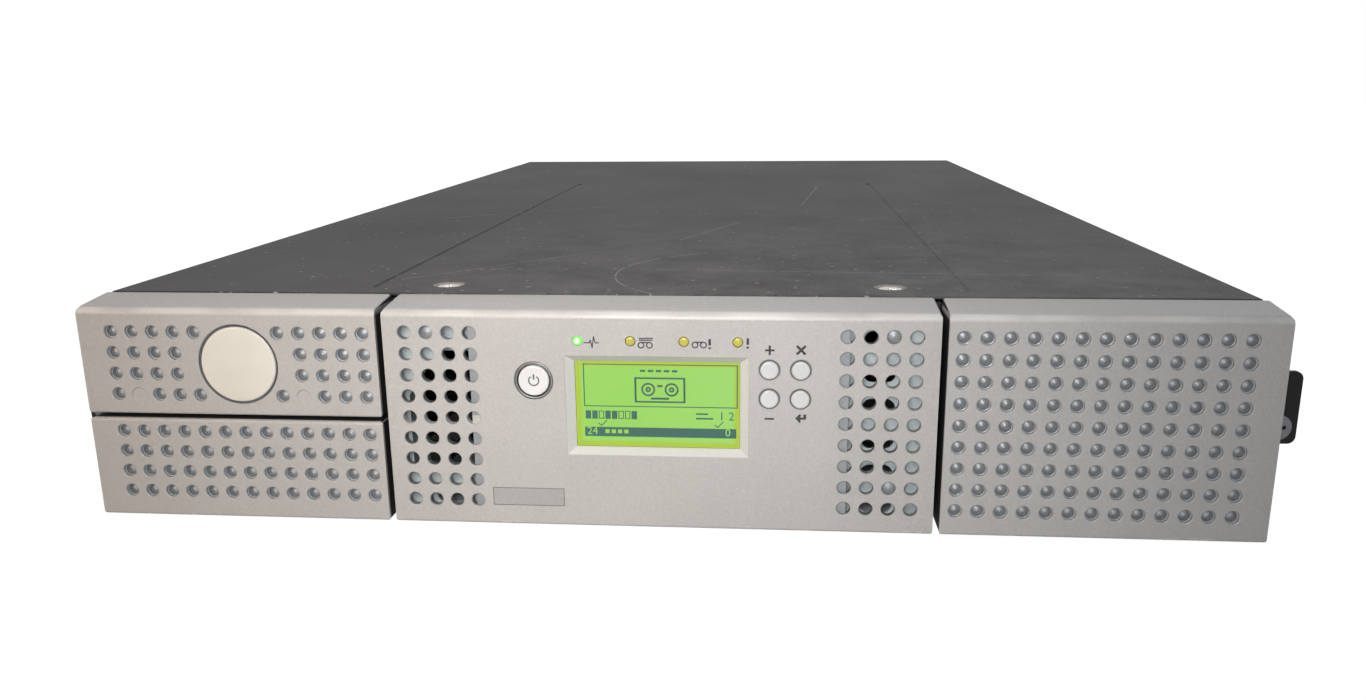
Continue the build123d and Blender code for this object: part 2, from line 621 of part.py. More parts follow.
def make_display():
    """The display's body behind the bezel, and the clear window in the bezel's opening."""
    width, height, depth = DISPLAY_MODULE
    x, z = DISPLAY_CENTRE
    start = FRONT + BEZEL_FRONT_WALL
    spans = ((x - width / 2, x + width / 2), (z - height / 2, z + height / 2))
    module = block(spans[0], (start, start + depth), spans[1])
    opening = facing(start) * Pos(x, z) * Rectangle(*DISPLAY_OPENING)
    window = extrude(offset(opening, -0.1, kind=Kind.INTERSECTION), WINDOW_THICKNESS)
    back = BOARD_SETBACK - BEZEL_FRONT_WALL - depth
    foot = block((x - width / 4, x + width / 4), (start + depth, start + depth + back), spans[1])
    return module + foot, window


def bulkhead_step(side):
    """One forward step of the bulkhead: the drawn box and the space inside it."""
    outer_x = VENT_INNER_X + HOLE_PITCH * (VENT_COLUMNS - 1) + BULKHEAD_STEP_MARGIN
    inner_x = VENT_INNER_X - BULKHEAD_STEP_MARGIN
    low, high = BULKHEAD_STEP_Z
    front = FRONT + BULKHEAD_STEP_SETBACK
    back = CHASSIS_FRONT + BASE_SHEET
    sheet = BASE_SHEET
    box = block(across(side, inner_x, outer_x), (front, back), (low, high))
    box = fillet(box.edges().group_by(Axis.Y)[0], sheet)
    space_x = across(side, inner_x + sheet, outer_x - sheet)
    space = block(space_x, (front + sheet, back + 1), (low + sheet, high - sheet))
    return box, space


def bulkhead_openings(side):
    """What one side's vents look into: slots on the right, a slot and a large window on the left."""
    middle = VENT_INNER_X + HOLE_PITCH * (VENT_COLUMNS - 1) / 2
    rows = BULKHEAD_SLOT_ROWS if side > 0 else 1
    heights = [BULKHEAD_SLOT_Z + BULKHEAD_SLOT_PITCH * row for row in range(rows)]
    found = [Pos(side * middle, z) * SlotOverall(*BULKHEAD_SLOT) for z in heights]
    if side < 0:
        low, high = BULKHEAD_WINDOW_Z
        cut_x, cut_z = BULKHEAD_WINDOW_CORNER
        inner = -(middle - BULKHEAD_WINDOW_REACH)
        outer = -(middle + BULKHEAD_WINDOW_REACH)
        corners = [(inner, low), (inner, high), (outer + cut_x, high), (outer, high - cut_z), (outer, low)]
        found.append(make_face(Polyline(*corners, close=True)))
    return found


def make_bulkhead():
    """The sheet behind the centre bezel, stepped forward and opened behind the vents."""
    half = MOUTH_X - BULKHEAD_SIDE_GAP
    y = (CHASSIS_FRONT, CHASSIS_FRONT + BASE_SHEET)
    flange_top = COVER_UNDER - COVER_SHEET
    sheet = block((-half, half), y, (BASE_SHEET, flange_top))
    flange_y = (y[0], CHASSIS_FRONT + BULKHEAD_FLANGE)
    sheet += block((-half, half), flange_y, (flange_top - BASE_SHEET, flange_top))
    sheet -= block(BOARD_X, (y[0] - 1, y[1] + 1), BOARD_Z)
    for side in (-1, 1):
        box, space = bulkhead_step(side)
        sheet = sheet + box - space
        plane = facing(FRONT + BULKHEAD_STEP_SETBACK - 1)
        sheet -= [extrude(plane * hole, -(BASE_SHEET + 2)) for hole in bulkhead_openings(side)]
    notch = COVER_NOTCH[0] / 2
    notch_y = (y[0] - 1, y[0] + COVER_NOTCH[1] + 1)
    sheet -= block((-notch, notch), notch_y, (flange_top - COVER_NOTCH_DROP, flange_top + 1))
    for side in (-1, 1):
        place = (side * COVER_SCREW_X, CHASSIS_FRONT + COVER_SCREW_SETBACK)
        hole = COVER_SCREW_SHANK + SHAFT_CLEARANCE
        sheet -= rod_z(*place, (flange_top - BASE_SHEET - 1, flange_top + 1), hole)
    return sheet


def make_base():
    """The folded base: a floor, two side walls and the tab that holds the rod's rear end."""
    span = (-WALL_OUTER, WALL_OUTER)
    length = (CHASSIS_FRONT, CHASSIS_BACK)
    outer = block(span, length, (0, COVER_UNDER))
    low_edges = outer.edges().filter_by(Axis.Y).group_by(Axis.Z)[0]
    outer = fillet(low_edges, BASE_SHEET * 1.5)
    inner = block((-WALL_INNER, WALL_INNER), (length[0] - 1, length[1] + 1), (BASE_SHEET, COVER_UNDER + 1))
    tray = outer - inner
    y = FRONT + EAR_SETBACK + EAR_LENGTH / 2
    for side in (-1, 1):
        tray -= rod_x(across(side, WALL_INNER - 1, WALL_OUTER + 1), y, sum(EAR_Z) / 2, 2.0)
    x = (ROD_X - BEARING_HALF_WIDTH, ROD_X + BEARING_HALF_WIDTH)
    return tray + block(x, (AISLE_BACK, AISLE_BACK + ROD_TAB), (BASE_SHEET / 2, BEARING_TOP))


def make_cover():
    """The top cover: two long beads, two screw dimples, a notch at the front, and side lips."""
    half = WALL_OUTER + COVER_SHEET
    front = CHASSIS_FRONT + RUNNING_GAP
    y = (front, CHASSIS_BACK)
    skin = block((-half, half), y, (COVER_UNDER, CHASSIS_HEIGHT))
    for side in (-1, 1):
        lip = across(side, WALL_OUTER, half)
        skin += block(lip, y, (COVER_UNDER - COVER_LIP, COVER_UNDER))
    long_edges = skin.edges().filter_by(Axis.Y).group_by(Axis.Z)[-1]
    skin = fillet(long_edges, COVER_SHEET * 0.9)
    flange_top = COVER_UNDER - COVER_SHEET
    for side in (-1, 1):
        x = side * COVER_SCREW_X
        place = (x, CHASSIS_FRONT + COVER_SCREW_SETBACK)
        skin += rod_z(*place, (flange_top, COVER_UNDER), COVER_DIMPLE_RADIUS + COVER_SHEET)
        skin -= screw_cone(*place, SHAFT_CLEARANCE)
        bead = across(side, COVER_BEAD_X - COVER_BEAD_WIDTH / 2, COVER_BEAD_X + COVER_BEAD_WIDTH / 2)
        run = [front + distance for distance in COVER_BEAD_SPAN]
        skin -= block(bead, run, (CHASSIS_HEIGHT - COVER_BEAD_DEPTH, CHASSIS_HEIGHT + 1))
    notch = COVER_NOTCH[0] / 2
    z = (COVER_UNDER - 1, CHASSIS_HEIGHT + 1)
    return skin - block((-notch, notch), (front - 1, front + COVER_NOTCH[1]), z)


def screw_cone(x, y, clearance=0.0):
    """A countersunk hole's shape in the cover, or the screw's own head without a clearance."""
    depth = COVER_SHEET * 2
    floor = CHASSIS_HEIGHT - depth
    top = COVER_DIMPLE_RADIUS if clearance else COVER_SCREW_RADIUS
    head_top = CHASSIS_HEIGHT if clearance else CHASSIS_HEIGHT - COVER_SCREW_SUNK
    small = COVER_SCREW_SHANK + clearance
    cone = Pos(x, y, (floor + head_top) / 2) * Cone(small, top, head_top - floor)
    return cone + rod_z(x, y, (floor - 0.5 if clearance else floor - 4.0, floor), small)


def cross_recess(centre, outwards, radius, depth):
    """A cross for the screwdriver, cut into a head whose face has this centre and direction."""
    length = radius * RECESS_LENGTH
    width = radius * RECESS_WIDTH
    arms = Rectangle(length, width) + Rectangle(width, length)
    return extrude(Plane(origin=centre, z_dir=outwards) * arms, -depth)


def make_case_screws():
    """The cover's two countersunk screws and the pan-head screws along its side lips."""
    y = CHASSIS_FRONT + COVER_SCREW_SETBACK
    head_top = CHASSIS_HEIGHT - COVER_SCREW_SUNK
    screws = []
    for side in (-1, 1):
        x = side * COVER_SCREW_X
        recess = cross_recess((x, y, head_top), (0, 0, 1), COVER_SCREW_RADIUS, COVER_SCREW_SUNK)
        screws.append(screw_cone(x, y) - recess)
    face = WALL_OUTER + COVER_SHEET
    z = COVER_UNDER - COVER_LIP / 2
    for side in (-1, 1):
        outer = side * (face + SIDE_SCREW_HEAD)
        for setback in SIDE_SCREWS:
            y = CHASSIS_FRONT + setback
            head = rod_x(across(side, face, face + SIDE_SCREW_HEAD), y, z, SIDE_SCREW_RADIUS)
            recess = cross_recess((outer, y, z), (side, 0, 0), SIDE_SCREW_RADIUS, SIDE_SCREW_HEAD / 2)
            screws.append(head - recess)
    return screws


def make_ear(side):
    """One rack ear: a leaf on the chassis wall and a flange with a rack hole and a screw hole."""
    y = FRONT + EAR_SETBACK
    flange = block(across(side, WALL_OUTER, EAR_SPAN / 2), (y, y + EAR_SHEET), EAR_Z)
    outer = flange.edges().filter_by(Axis.Y).group_by(Axis.X)[-1 if side > 0 else 0]
    ear = fillet(outer, EAR_CORNER)
    ear += block(across(side, WALL_OUTER, WALL_OUTER + EAR_SHEET), (y, y + EAR_LENGTH), EAR_Z)
    x = side * EAR_HOLE_SPAN / 2
    through = (y - 1, y + EAR_SHEET + 1)
    ear -= rod_y(x, through, EAR_HOLE_Z, EAR_HOLE_RADIUS)
    return ear - rod_y(x, through, EAR_SCREW_Z, EAR_SCREW_RADIUS + SHAFT_CLEARANCE)


def make_ear_screws():
    """The captive screw in each ear and the screw that holds the ear to the chassis wall."""
    y = FRONT + EAR_SETBACK
    wall_y = y + EAR_LENGTH / 2
    wall_z = sum(EAR_Z) / 2
    head_radius, head_height = EAR_SCREW_HEAD
    wall_radius, wall_height = EAR_WALL_HEAD
    found = []
    for side in (-1, 1):
        x = side * EAR_HOLE_SPAN / 2
        screw = rod_y(x, (y - head_height, y), EAR_SCREW_Z, head_radius)
        screw -= cross_recess((x, y - head_height, EAR_SCREW_Z), (0, -1, 0), head_radius, head_height / 2)
        found.append(screw + rod_y(x, (y, y + EAR_SHEET + EAR_SCREW_LENGTH), EAR_SCREW_Z, EAR_SCREW_RADIUS))
        face = WALL_OUTER + EAR_SHEET
        head = rod_x(across(side, face, face + wall_height), wall_y, wall_z, wall_radius)
        outer = (side * (face + wall_height), wall_y, wall_z)
        found.append(head - cross_recess(outer, (side, 0, 0), wall_radius, wall_height / 2))
    return found


def shelf_notches(side, z):
    """Cutters that open the aisle edge of a slot floor for the robot's fork, one per column."""
    found = []
    for column in range(COLUMNS):
        middle = SLOT_START + SLOT[1] / 2 + column * COLUMN_PITCH
        y = (middle - NOTCH_WIDTH / 2, middle + NOTCH_WIDTH / 2)
        found.append(block(across(side, MOUTH_X - 1, MOUTH_X + NOTCH_DEPTH), y, z))
    return found


def make_magazine_frame(side, with_station):
    """A magazine's moulded frame, open towards the aisle, on two runners."""
    x = across(side, MOUTH_X, MAGAZINE_OUTER_X)
    y = (CHASSIS_FRONT, MAGAZINE_BACK + MAGAZINE_WALL)
    floor = (SLOT_FLOOR - MAGAZINE_FLOOR, SLOT_FLOOR)
    roof = (MAGAZINE_CEILING, MAGAZINE_CEILING + MAGAZINE_ROOF)
    frame = block(x, y, floor) - shelf_notches(side, (floor[0] - 1, floor[1] + 1))
    frame += block(x, y, roof)
    frame += block(across(side, SLOT_END_X, MAGAZINE_OUTER_X), y, (floor[0], roof[1]))
    frame += block(x, (MAGAZINE_BACK, y[1]), (floor[0], roof[1]))
    frame += block(x, (SLOT_START - DIVIDER, SLOT_START), (floor[0], roof[1]))
    for runner in RUNNER_X:
        frame += block(across(side, runner, runner + RUNNER_WIDTH), y, (MAGAZINE_BOTTOM, floor[0]))
    frame += block(x, (y[0], y[0] + DIVIDER), (TRACK_TOP + RUNNING_GAP, floor[0]))
    plate_low = BEZEL_FLOOR_GAP
    if with_station:
        plate_low = SPLIT_TOP + SPLIT_GAP
        inside = across(side, MOUTH_X - 1, SLOT_END_X)
        frame -= block(inside, (y[0] - 1, SLOT_START + SLOT[1]), (floor[0], SLOT_FLOOR + SLOT[2]))
    plate_z = (plate_low + BEZEL_WALL + RUNNING_GAP, roof[1])
    return frame + block(x, (FRAME_FRONT, y[0]), plate_z)


def make_dividers(side):
    """The upright walls between a magazine's columns."""
    x = across(side, MOUTH_X, SLOT_END_X)
    found = []
    for column in range(1, COLUMNS):
        end = SLOT_START + column * COLUMN_PITCH
        wall = block(x, (end - DIVIDER, end), (SLOT_FLOOR, MAGAZINE_CEILING))
        mouth = wall.edges().filter_by(Axis.Z).group_by(Axis.X)[0 if side > 0 else -1]
        found.append(chamfer(mouth, DIVIDER / 3))
    return found


def make_shelves(side):
    """The shelves between a magazine's rows, one plate per column and level."""
    found = []
    for row in range(1, ROWS):
        top = SLOT_FLOOR + row * ROW_PITCH
        notches = shelf_notches(side, (top - SHELF - 1, top + 1))
        for column in range(COLUMNS):
            y = SLOT_START + column * COLUMN_PITCH
            plate = block(across(side, MOUTH_X, SLOT_END_X), (y, y + SLOT[1]), (top - SHELF, top))
            found.append(plate - notches[column])
    return found


def make_springs(side, with_station):
    """A bent leaf spring at the closed end of each slot, which pushes the cartridge's back."""
    found = []
    for column in range(COLUMNS):
        for row in range(ROWS):
            if with_station and column == 0 and row == 0:
                continue
            y = SLOT_START + SLOT[1] / 2 + column * COLUMN_PITCH
            z = SLOT_FLOOR + row * ROW_PITCH + SLOT[2] / 2
            half = SLOT[1] / 5
            face = SLOT_END_X
            crown = face - SPRING_RISE
            points = [(face, y - half), (crown, y), (face, y + half)]
            back = [(x - SPRING_SHEET, y) for x, y in reversed(points)]
            leaf = make_face(Polyline(*points, *back, close=True))
            leaf = Pos(0, 0, z - SPRING_WIDTH / 2) * extrude(leaf, SPRING_WIDTH)
            found.append(leaf if side > 0 else mirror(leaf, Plane.YZ))
    return found


def make_tracks():
    """The channels on the base, two a side, that the magazines' runners slide in."""
    y = (CHASSIS_FRONT, MAGAZINE_BACK)
    groove = (BASE_SHEET + TRACK_SHEET, TRACK_TOP + 1)
    found = []
    for side in (-1, 1):
        for runner in RUNNER_X:
            inner = (runner - TRACK_SIDE_GAP, runner + RUNNER_WIDTH + TRACK_SIDE_GAP)
            outer = (inner[0] - TRACK_SHEET, inner[1] + TRACK_SHEET)
            channel = block(across(side, *outer), y, (BASE_SHEET, TRACK_TOP))
            found.append(channel - block(across(side, *inner), (y[0] - 1, y[1] + 1), groove))
    return found


def make_io_tray():
    """The I/O station's drawer, which carries one cartridge and opens towards the aisle."""
    floor = (SLOT_FLOOR - MAGAZINE_FLOOR + RUNNING_GAP, SLOT_FLOOR)
    inner, outer = MOUTH_X + PANEL_GAP, SLOT_END_X - PANEL_GAP
    x = across(-1, inner, outer)
    front = FRAME_FRONT - MAGAZINE_FRONT_WALL - RUNNING_GAP
    back = SLOT_START + SLOT[1] - PANEL_GAP
    top = SLOT_FLOOR + SLOT[2] - PANEL_GAP
    tray = block(x, (front, back), floor)
    tray += block(across(-1, outer - IO_TRAY_WALL, outer), (front, back), (floor[0], top))
    tray += block(x, (back - IO_TRAY_REAR_WALL, back), (floor[0], top))
    tray += block(x, (SLOT_START - DIVIDER, SLOT_START), (floor[0], top))
    plate_x = across(-1, inner, BEZEL_WIDTH / 2 - BEZEL_WALL - RUNNING_GAP)
    plate_z = (BEZEL_FLOOR_GAP + BEZEL_WALL + RUNNING_GAP, SPLIT_TOP - BEZEL_WALL - RUNNING_GAP)
    tray += block(plate_x, (front, front + MAGAZINE_FRONT_WALL), plate_z)
    middle = SLOT_START + SLOT[1] / 2
    notch = (middle - NOTCH_WIDTH / 2, middle + NOTCH_WIDTH / 2)
    return tray - block(across(-1, inner - 1, MOUTH_X + NOTCH_DEPTH), notch, (floor[0] - 1, floor[1] + 1))


def make_guide_rod():
    """The polished rod that the robot's carriage slides on, between the bulkhead and a tab."""
    return rod_y(ROD_X, (CHASSIS_FRONT + BASE_SHEET, AISLE_BACK), ROD_Z, ROD_RADIUS)


def tooth_slope():
    """How far a straight rack flank leans per unit of height."""
    return math.tan(math.radians(PRESSURE_ANGLE))


def make_rack():
    """The toothed rack along the aisle, on a bar that stands on the base."""
    start, end = CHASSIS_FRONT + BASE_SHEET, AISLE_BACK
    pitch = math.pi * GEAR_MODULE
    tip = RACK_PITCH_X - GEAR_MODULE * 0.9
    root = RACK_PITCH_X + GEAR_MODULE * 1.25
    half = pitch / 4 - GEAR_BACKLASH / 4
    tip_half = half - (RACK_PITCH_X - tip) * tooth_slope()
    root_half = half + (root - RACK_PITCH_X) * tooth_slope()
    first = math.ceil((start - COLUMN_Y + root_half) / pitch - 0.5)
    last = math.floor((end - COLUMN_Y - root_half) / pitch - 0.5)
    points = [(RACK_BACK_X, start), (root, start)]
    for tooth in range(first, last + 1):
        y = COLUMN_Y + (tooth + 0.5) * pitch
        points += [(root, y - root_half), (tip, y - tip_half), (tip, y + tip_half), (root, y + root_half)]
    points += [(root, end), (RACK_BACK_X, end)]
    teeth = Pos(0, 0, GEAR_Z[0]) * extrude(make_face(Polyline(*points, close=True)), GEAR_Z[1] - GEAR_Z[0])
    return teeth + block((root, RACK_BACK_X), (start, end), (BASE_SHEET, GEAR_Z[0]))


def involute_point(base, angle):
    """A point of the involute of a base circle, unrolled by the given angle."""
    return (
        base * (math.cos(angle) + angle * math.sin(angle)),
        base * (math.sin(angle) - angle * math.cos(angle)),
    )


def make_pinion():
    """The pinion that drives the carriage along the rack: involute teeth and its shaft."""
    pitch_radius = PINION_RADIUS
    base = pitch_radius * math.cos(math.radians(PRESSURE_ANGLE))
    tip = pitch_radius + GEAR_MODULE
    root = pitch_radius - GEAR_MODULE * 1.25
    pressure = math.radians(PRESSURE_ANGLE)
    at_pitch = math.tan(pressure) - pressure
    half_tooth = math.pi / (2 * PINION_TEETH) - GEAR_BACKLASH / (4 * pitch_radius) + at_pitch
    steps = 3
    end = math.sqrt((tip / base) ** 2 - 1)
    flank = [involute_point(base, end * step / steps) for step in range(steps + 1)]
    flank = [(math.hypot(x, y), math.atan2(y, x)) for x, y in flank]
    points = []
    for tooth in range(PINION_TEETH):
        centre = 2 * math.pi * tooth / PINION_TEETH
        rising = [(root, centre - half_tooth)] + [(r, centre - half_tooth + a) for r, a in flank]
        falling = [(r, centre + half_tooth - a) for r, a in reversed(flank)] + [(root, centre + half_tooth)]
        points += [(r * math.cos(a), r * math.sin(a)) for r, a in rising + falling]
    wheel = extrude(make_face(Polyline(*points, close=True)), GEAR_Z[1] - GEAR_Z[0])
    wheel = Pos(PINION_X, COLUMN_Y, GEAR_Z[0]) * wheel
    shaft_top = GEAR_Z[1] + RUNNING_GAP + MOTOR_FLANGE + 4.0
    return wheel + rod_z(PINION_X, COLUMN_Y, (GEAR_Z[1], shaft_top), PINION_SHAFT_RADIUS)


def make_carriage_plate():
    """The carriage's steel plate with lightening windows, and the pillars under the motor."""
    half = CARRIAGE_HALF_WIDTH
    y = (CARRIAGE_Y - CARRIAGE_FRONT, CARRIAGE_Y + CARRIAGE_BACK)
    plate = block((-half, half), y, (CARRIAGE_BOTTOM, CARRIAGE_TOP))
    plate = fillet(plate.edges().filter_by(Axis.Z), 4.0)
    window = (PLATFORM_RADIUS + 4.0, CARRIAGE_HALF_WIDTH - 12.0)
    for side in (-1, 1):
        cut = block(across(side, *window), (y[0] + 12.0, CARRIAGE_Y + 40.0), (0, CARRIAGE_TOP + 1))
        plate -= cut
    flange = GEAR_Z[1] + RUNNING_GAP
    for offset_y in (-8.5, 8.5):
        place = (MOTOR_FLANGE_INNER_X + 2.8, COLUMN_Y + offset_y)
        plate += rod_z(*place, (CARRIAGE_TOP, flange), 1.8)
    return plate


def make_carriage_bearings():
    """The two plain bearings on the guide rod, and the glide pads on the other side."""
    x = (ROD_X - BEARING_HALF_WIDTH, -CARRIAGE_HALF_WIDTH)
    starts = (CARRIAGE_Y - CARRIAGE_FRONT, CARRIAGE_Y + CARRIAGE_BACK - BEARING_LENGTH)
    bore = ROD_RADIUS + SHAFT_CLEARANCE
    found = []
    for start in starts:
        y = (start, start + BEARING_LENGTH)
        bearing = block(x, y, (CARRIAGE_BOTTOM, BEARING_TOP))
        found.append(bearing - rod_y(ROD_X, (y[0] - 1, y[1] + 1), ROD_Z, bore))
        pad_z = (BASE_SHEET + RUNNING_GAP, CARRIAGE_BOTTOM)
        found.append(block((CARRIAGE_HALF_WIDTH - 11.0, CARRIAGE_HALF_WIDTH - 4.0), y, pad_z))
    return found


def make_travel_motor():
    """The gear motor that turns the pinion, on its flange."""
    bottom = GEAR_Z[1] + RUNNING_GAP
    flange_top = bottom + MOTOR_FLANGE
    flange = block(
        (MOTOR_FLANGE_INNER_X, PINION_X + MOTOR_RADIUS),
        (COLUMN_Y - MOTOR_RADIUS, COLUMN_Y + MOTOR_RADIUS),
        (bottom, flange_top),
    )
    motor = flange + rod_z(PINION_X, COLUMN_Y, (flange_top, flange_top + MOTOR_HEIGHT), MOTOR_RADIUS - 0.5)
    bore = PINION_SHAFT_RADIUS + SHAFT_CLEARANCE
    return motor - rod_z(PINION_X, COLUMN_Y, (bottom - 1, flange_top + 4.5), bore)


def make_lift_posts():
    """The two guide posts of the lift."""
    return [rod_z(x, COLUMN_Y, (CARRIAGE_TOP, BRACE_BOTTOM), POST_RADIUS) for x in (-POST_X, POST_X)]


def make_lift_brace():
    """The brace across the tops of the posts, with the lift motor hanging from it."""
    x = (SCREW_X - MOTOR_RADIUS - 1.0, POST_X + BEAM_HALF)
    y = (COLUMN_Y - BEAM_HALF, COLUMN_Y + BEAM_HALF)
    brace = block(x, y, (BRACE_BOTTOM, BRACE_BOTTOM + BRACE_SHEET))
    bottom = BRACE_BOTTOM - LIFT_MOTOR_HEIGHT
    motor = rod_z(SCREW_X, COLUMN_Y, (bottom, BRACE_BOTTOM), MOTOR_RADIUS)
    bore = LIFT_SHAFT_RADIUS + SHAFT_CLEARANCE
    return brace, motor - rod_z(SCREW_X, COLUMN_Y, (bottom - 1, bottom + LIFT_SHAFT_LENGTH + 1), bore)


def make_lift_screw():
    """The lead screw of the lift; its thread is left plain."""
    top = BRACE_BOTTOM - LIFT_MOTOR_HEIGHT - RUNNING_GAP
    screw = rod_z(SCREW_X, COLUMN_Y, (CARRIAGE_TOP + RUNNING_GAP, top), SCREW_RADIUS)
    return screw + rod_z(SCREW_X, COLUMN_Y, (top, top + LIFT_SHAFT_LENGTH), LIFT_SHAFT_RADIUS)


def make_platform():
    """The lift platform: a round seat, a neck and a beam with two bushes and the nut."""
    z = (PLATFORM_BOTTOM, PLATFORM_TOP)
    beam_x = (SCREW_X - BEAM_HALF, POST_X + BEAM_HALF)
    plate = rod_z(0, CARRIAGE_Y, z, PLATFORM_RADIUS)
    plate += block((-PLATFORM_NECK, PLATFORM_NECK), (CARRIAGE_Y, COLUMN_Y), z)
    plate += block(beam_x, (COLUMN_Y - BEAM_HALF, COLUMN_Y + BEAM_HALF), z)
    for x in (-POST_X, POST_X):
        plate += rod_z(x, COLUMN_Y, (z[0], z[0] + POST_BUSH_HEIGHT), POST_BUSH_RADIUS)
    plate += rod_z(SCREW_X, COLUMN_Y, (z[0], z[0] + SCREW_NUT_HEIGHT), SCREW_NUT_RADIUS)
    through = (z[0] - 1, z[0] + POST_BUSH_HEIGHT + 1)
    for x in (-POST_X, POST_X):
        plate -= rod_z(x, COLUMN_Y, through, POST_RADIUS + SHAFT_CLEARANCE)
    plate -= rod_z(SCREW_X, COLUMN_Y, through, SCREW_RADIUS + SHAFT_CLEARANCE)
    return plate - rod_z(0, CARRIAGE_Y, through, PIVOT_RADIUS + SHAFT_CLEARANCE)


def make_tray():
    """The turning tray that a cartridge is drawn into, with its pivot and side guides."""
    x = (-TRAY_HALF_WIDTH, TRAY_HALF_WIDTH)
    y = (CARRIAGE_Y - TRAY_HALF_LENGTH, CARRIAGE_Y + TRAY_HALF_LENGTH)
    tray = block(x, y, (TRAY_BOTTOM, TRAY_TOP))
    tray = chamfer(tray.edges().filter_by(Axis.Z), 6.0)
    inner = CARTRIDGE[1] / 2 + 1.5
    for side in (-1, 1):
        guide_y = (y[0] + 7.0, y[1] - 7.0)
        guide_z = (TRAY_TOP, TRAY_TOP + TRAY_GUIDE_HEIGHT)
        tray += block(across(side, inner, inner + TRAY_GUIDE), guide_y, guide_z)
    return tray + rod_z(0, CARRIAGE_Y, (PLATFORM_BOTTOM, TRAY_BOTTOM), PIVOT_RADIUS)


def make_fork():
    """The gripper: a cross bar with two prongs that end in low hooks."""
    width, length, height = FORK_BAR
    back = CARRIAGE_Y - TRAY_HALF_LENGTH + 1.5
    fork = block((-width / 2, width / 2), (back, back + length), (FORK_BOTTOM, FORK_BOTTOM + height))
    tip = CARRIAGE_Y + TRAY_HALF_LENGTH - 3.0
    hook_length, hook_height = FORK_HOOK
    top = FORK_BOTTOM + FORK_SHEET
    for x in (-FORK_SPREAD, FORK_SPREAD):
        span = (x - FORK_WIDTH / 2, x + FORK_WIDTH / 2)
        fork += block(span, (back, tip), (FORK_BOTTOM, top))
        fork += block(span, (tip - hook_length, tip), (top, top + hook_height))
    return fork


def make_reader():
    """The bar-code reader at the rear corner of the tray."""
    width, length, height = READER
    x = -(FORK_BAR[0] / 2 + 1.0)
    y = CARRIAGE_Y - TRAY_HALF_LENGTH + 7.0
    return block((x - width, x), (y, y + length), (TRAY_TOP, TRAY_TOP + height))


def make_drive():
    """The full-height tape drive, with the mouth that a cartridge is loaded into."""
    half = DRIVE_WIDTH / 2
    bottom = BASE_SHEET + SLED_LIFT + SLED_SHEET
    back = CHASSIS_BACK - DRIVE_BACK_GAP
    y = (DRIVE_FRONT, back)
    z = (bottom, bottom + DRIVE_HEIGHT)
    drive = block((-half, half), y, z)
    drive = fillet(drive.edges().filter_by(Axis.Y), 1.5)
    wall = DRIVE_WALL
    mouth_half = DRIVE_MOUTH[0] / 2
    mouth_low = SLOT_FLOOR + ROW_PITCH - 0.6
    mouth_z = (mouth_low, mouth_low + DRIVE_MOUTH[1])
    drive -= block((-mouth_half, mouth_half), (y[0] - 1, y[0] + DRIVE_MOUTH_DEPTH), mouth_z)
    inside = (DRIVE_FRONT + DRIVE_MOUTH_DEPTH + wall, back - wall)
    return drive - block((-half + wall, half - wall), inside, (z[0] + wall, z[1] - wall))


def make_sled():
    """The sled that carries the drive: floor, side walls and the rear plate with its vents."""
    half = DRIVE_WIDTH / 2 + SLED_SIDE_GAP + SLED_SHEET
    low = BASE_SHEET + SLED_LIFT
    plate_front = CHASSIS_BACK + RUNNING_GAP
    plate_back = plate_front + SLED_SHEET
    y = (DRIVE_FRONT + 6.0, plate_front)
    sled = block((-half, half), y, (low, low + SLED_SHEET))
    for side in (-1, 1):
        sled += block(across(side, half - SLED_SHEET, half), y, (low, SLED_WALL_HEIGHT))
    plate_x = (-SLED_PLATE_HALF_WIDTH, SLED_PLATE_HALF_WIDTH)
    sled += block(plate_x, (plate_front, plate_back), (low, COVER_UNDER - 1.0))
    slot = SlotOverall(*SLED_SLOT)
    start_x, start_z = SLED_SLOT_START
    for column in range(3):
        for row in range(5):
            place = Pos(start_x + SLED_SLOT_PITCH[0] * column, start_z + SLED_SLOT_PITCH[1] * row)
            sled -= extrude(facing(plate_front - 1) * place * slot, -(SLED_SHEET + 2))
    return sled


def make_sled_ports():
    """The drive's two host ports, on the sled's rear plate."""
    face = CHASSIS_BACK + RUNNING_GAP + SLED_SHEET
    width, depth, height = HOST_PORT
    z = (HOST_PORT_Z, HOST_PORT_Z + height)
    return [block((x, x + width), (face, face + depth), z) for x in HOST_PORT_X]


def make_handle(x, z, reach, bar=HANDLE_BAR):
    """An upright pull handle, open between its two feet, that stands out to the rear."""
    face = CHASSIS_BACK + RUNNING_GAP + SLED_SHEET
    outer = block((x - bar / 2, x + bar / 2), (face, face + reach), z)
    corners = outer.edges().filter_by(Axis.X).group_by(Axis.Y)[-1]
    outer = fillet(corners, bar)
    gap = block((x - bar, x + bar), (face - 1, face + reach - bar * 0.8), (z[0] + bar, z[1] - bar))
    return outer - gap


def make_thumbscrews():
    """The two captive thumbscrews of the sled, with plain shanks."""
    face = CHASSIS_BACK + RUNNING_GAP + SLED_SHEET
    found = []
    for side in (-1, 1):
        x = side * (SLED_PLATE_HALF_WIDTH - THUMBSCREW_INSET)
        screw = rod_y(x, (face, face + THUMBSCREW_LENGTH), THUMBSCREW_Z, THUMBSCREW_RADIUS)
        found.append(chamfer(screw.edges().sort_by(Axis.Y)[-1], 1.2))
    return found


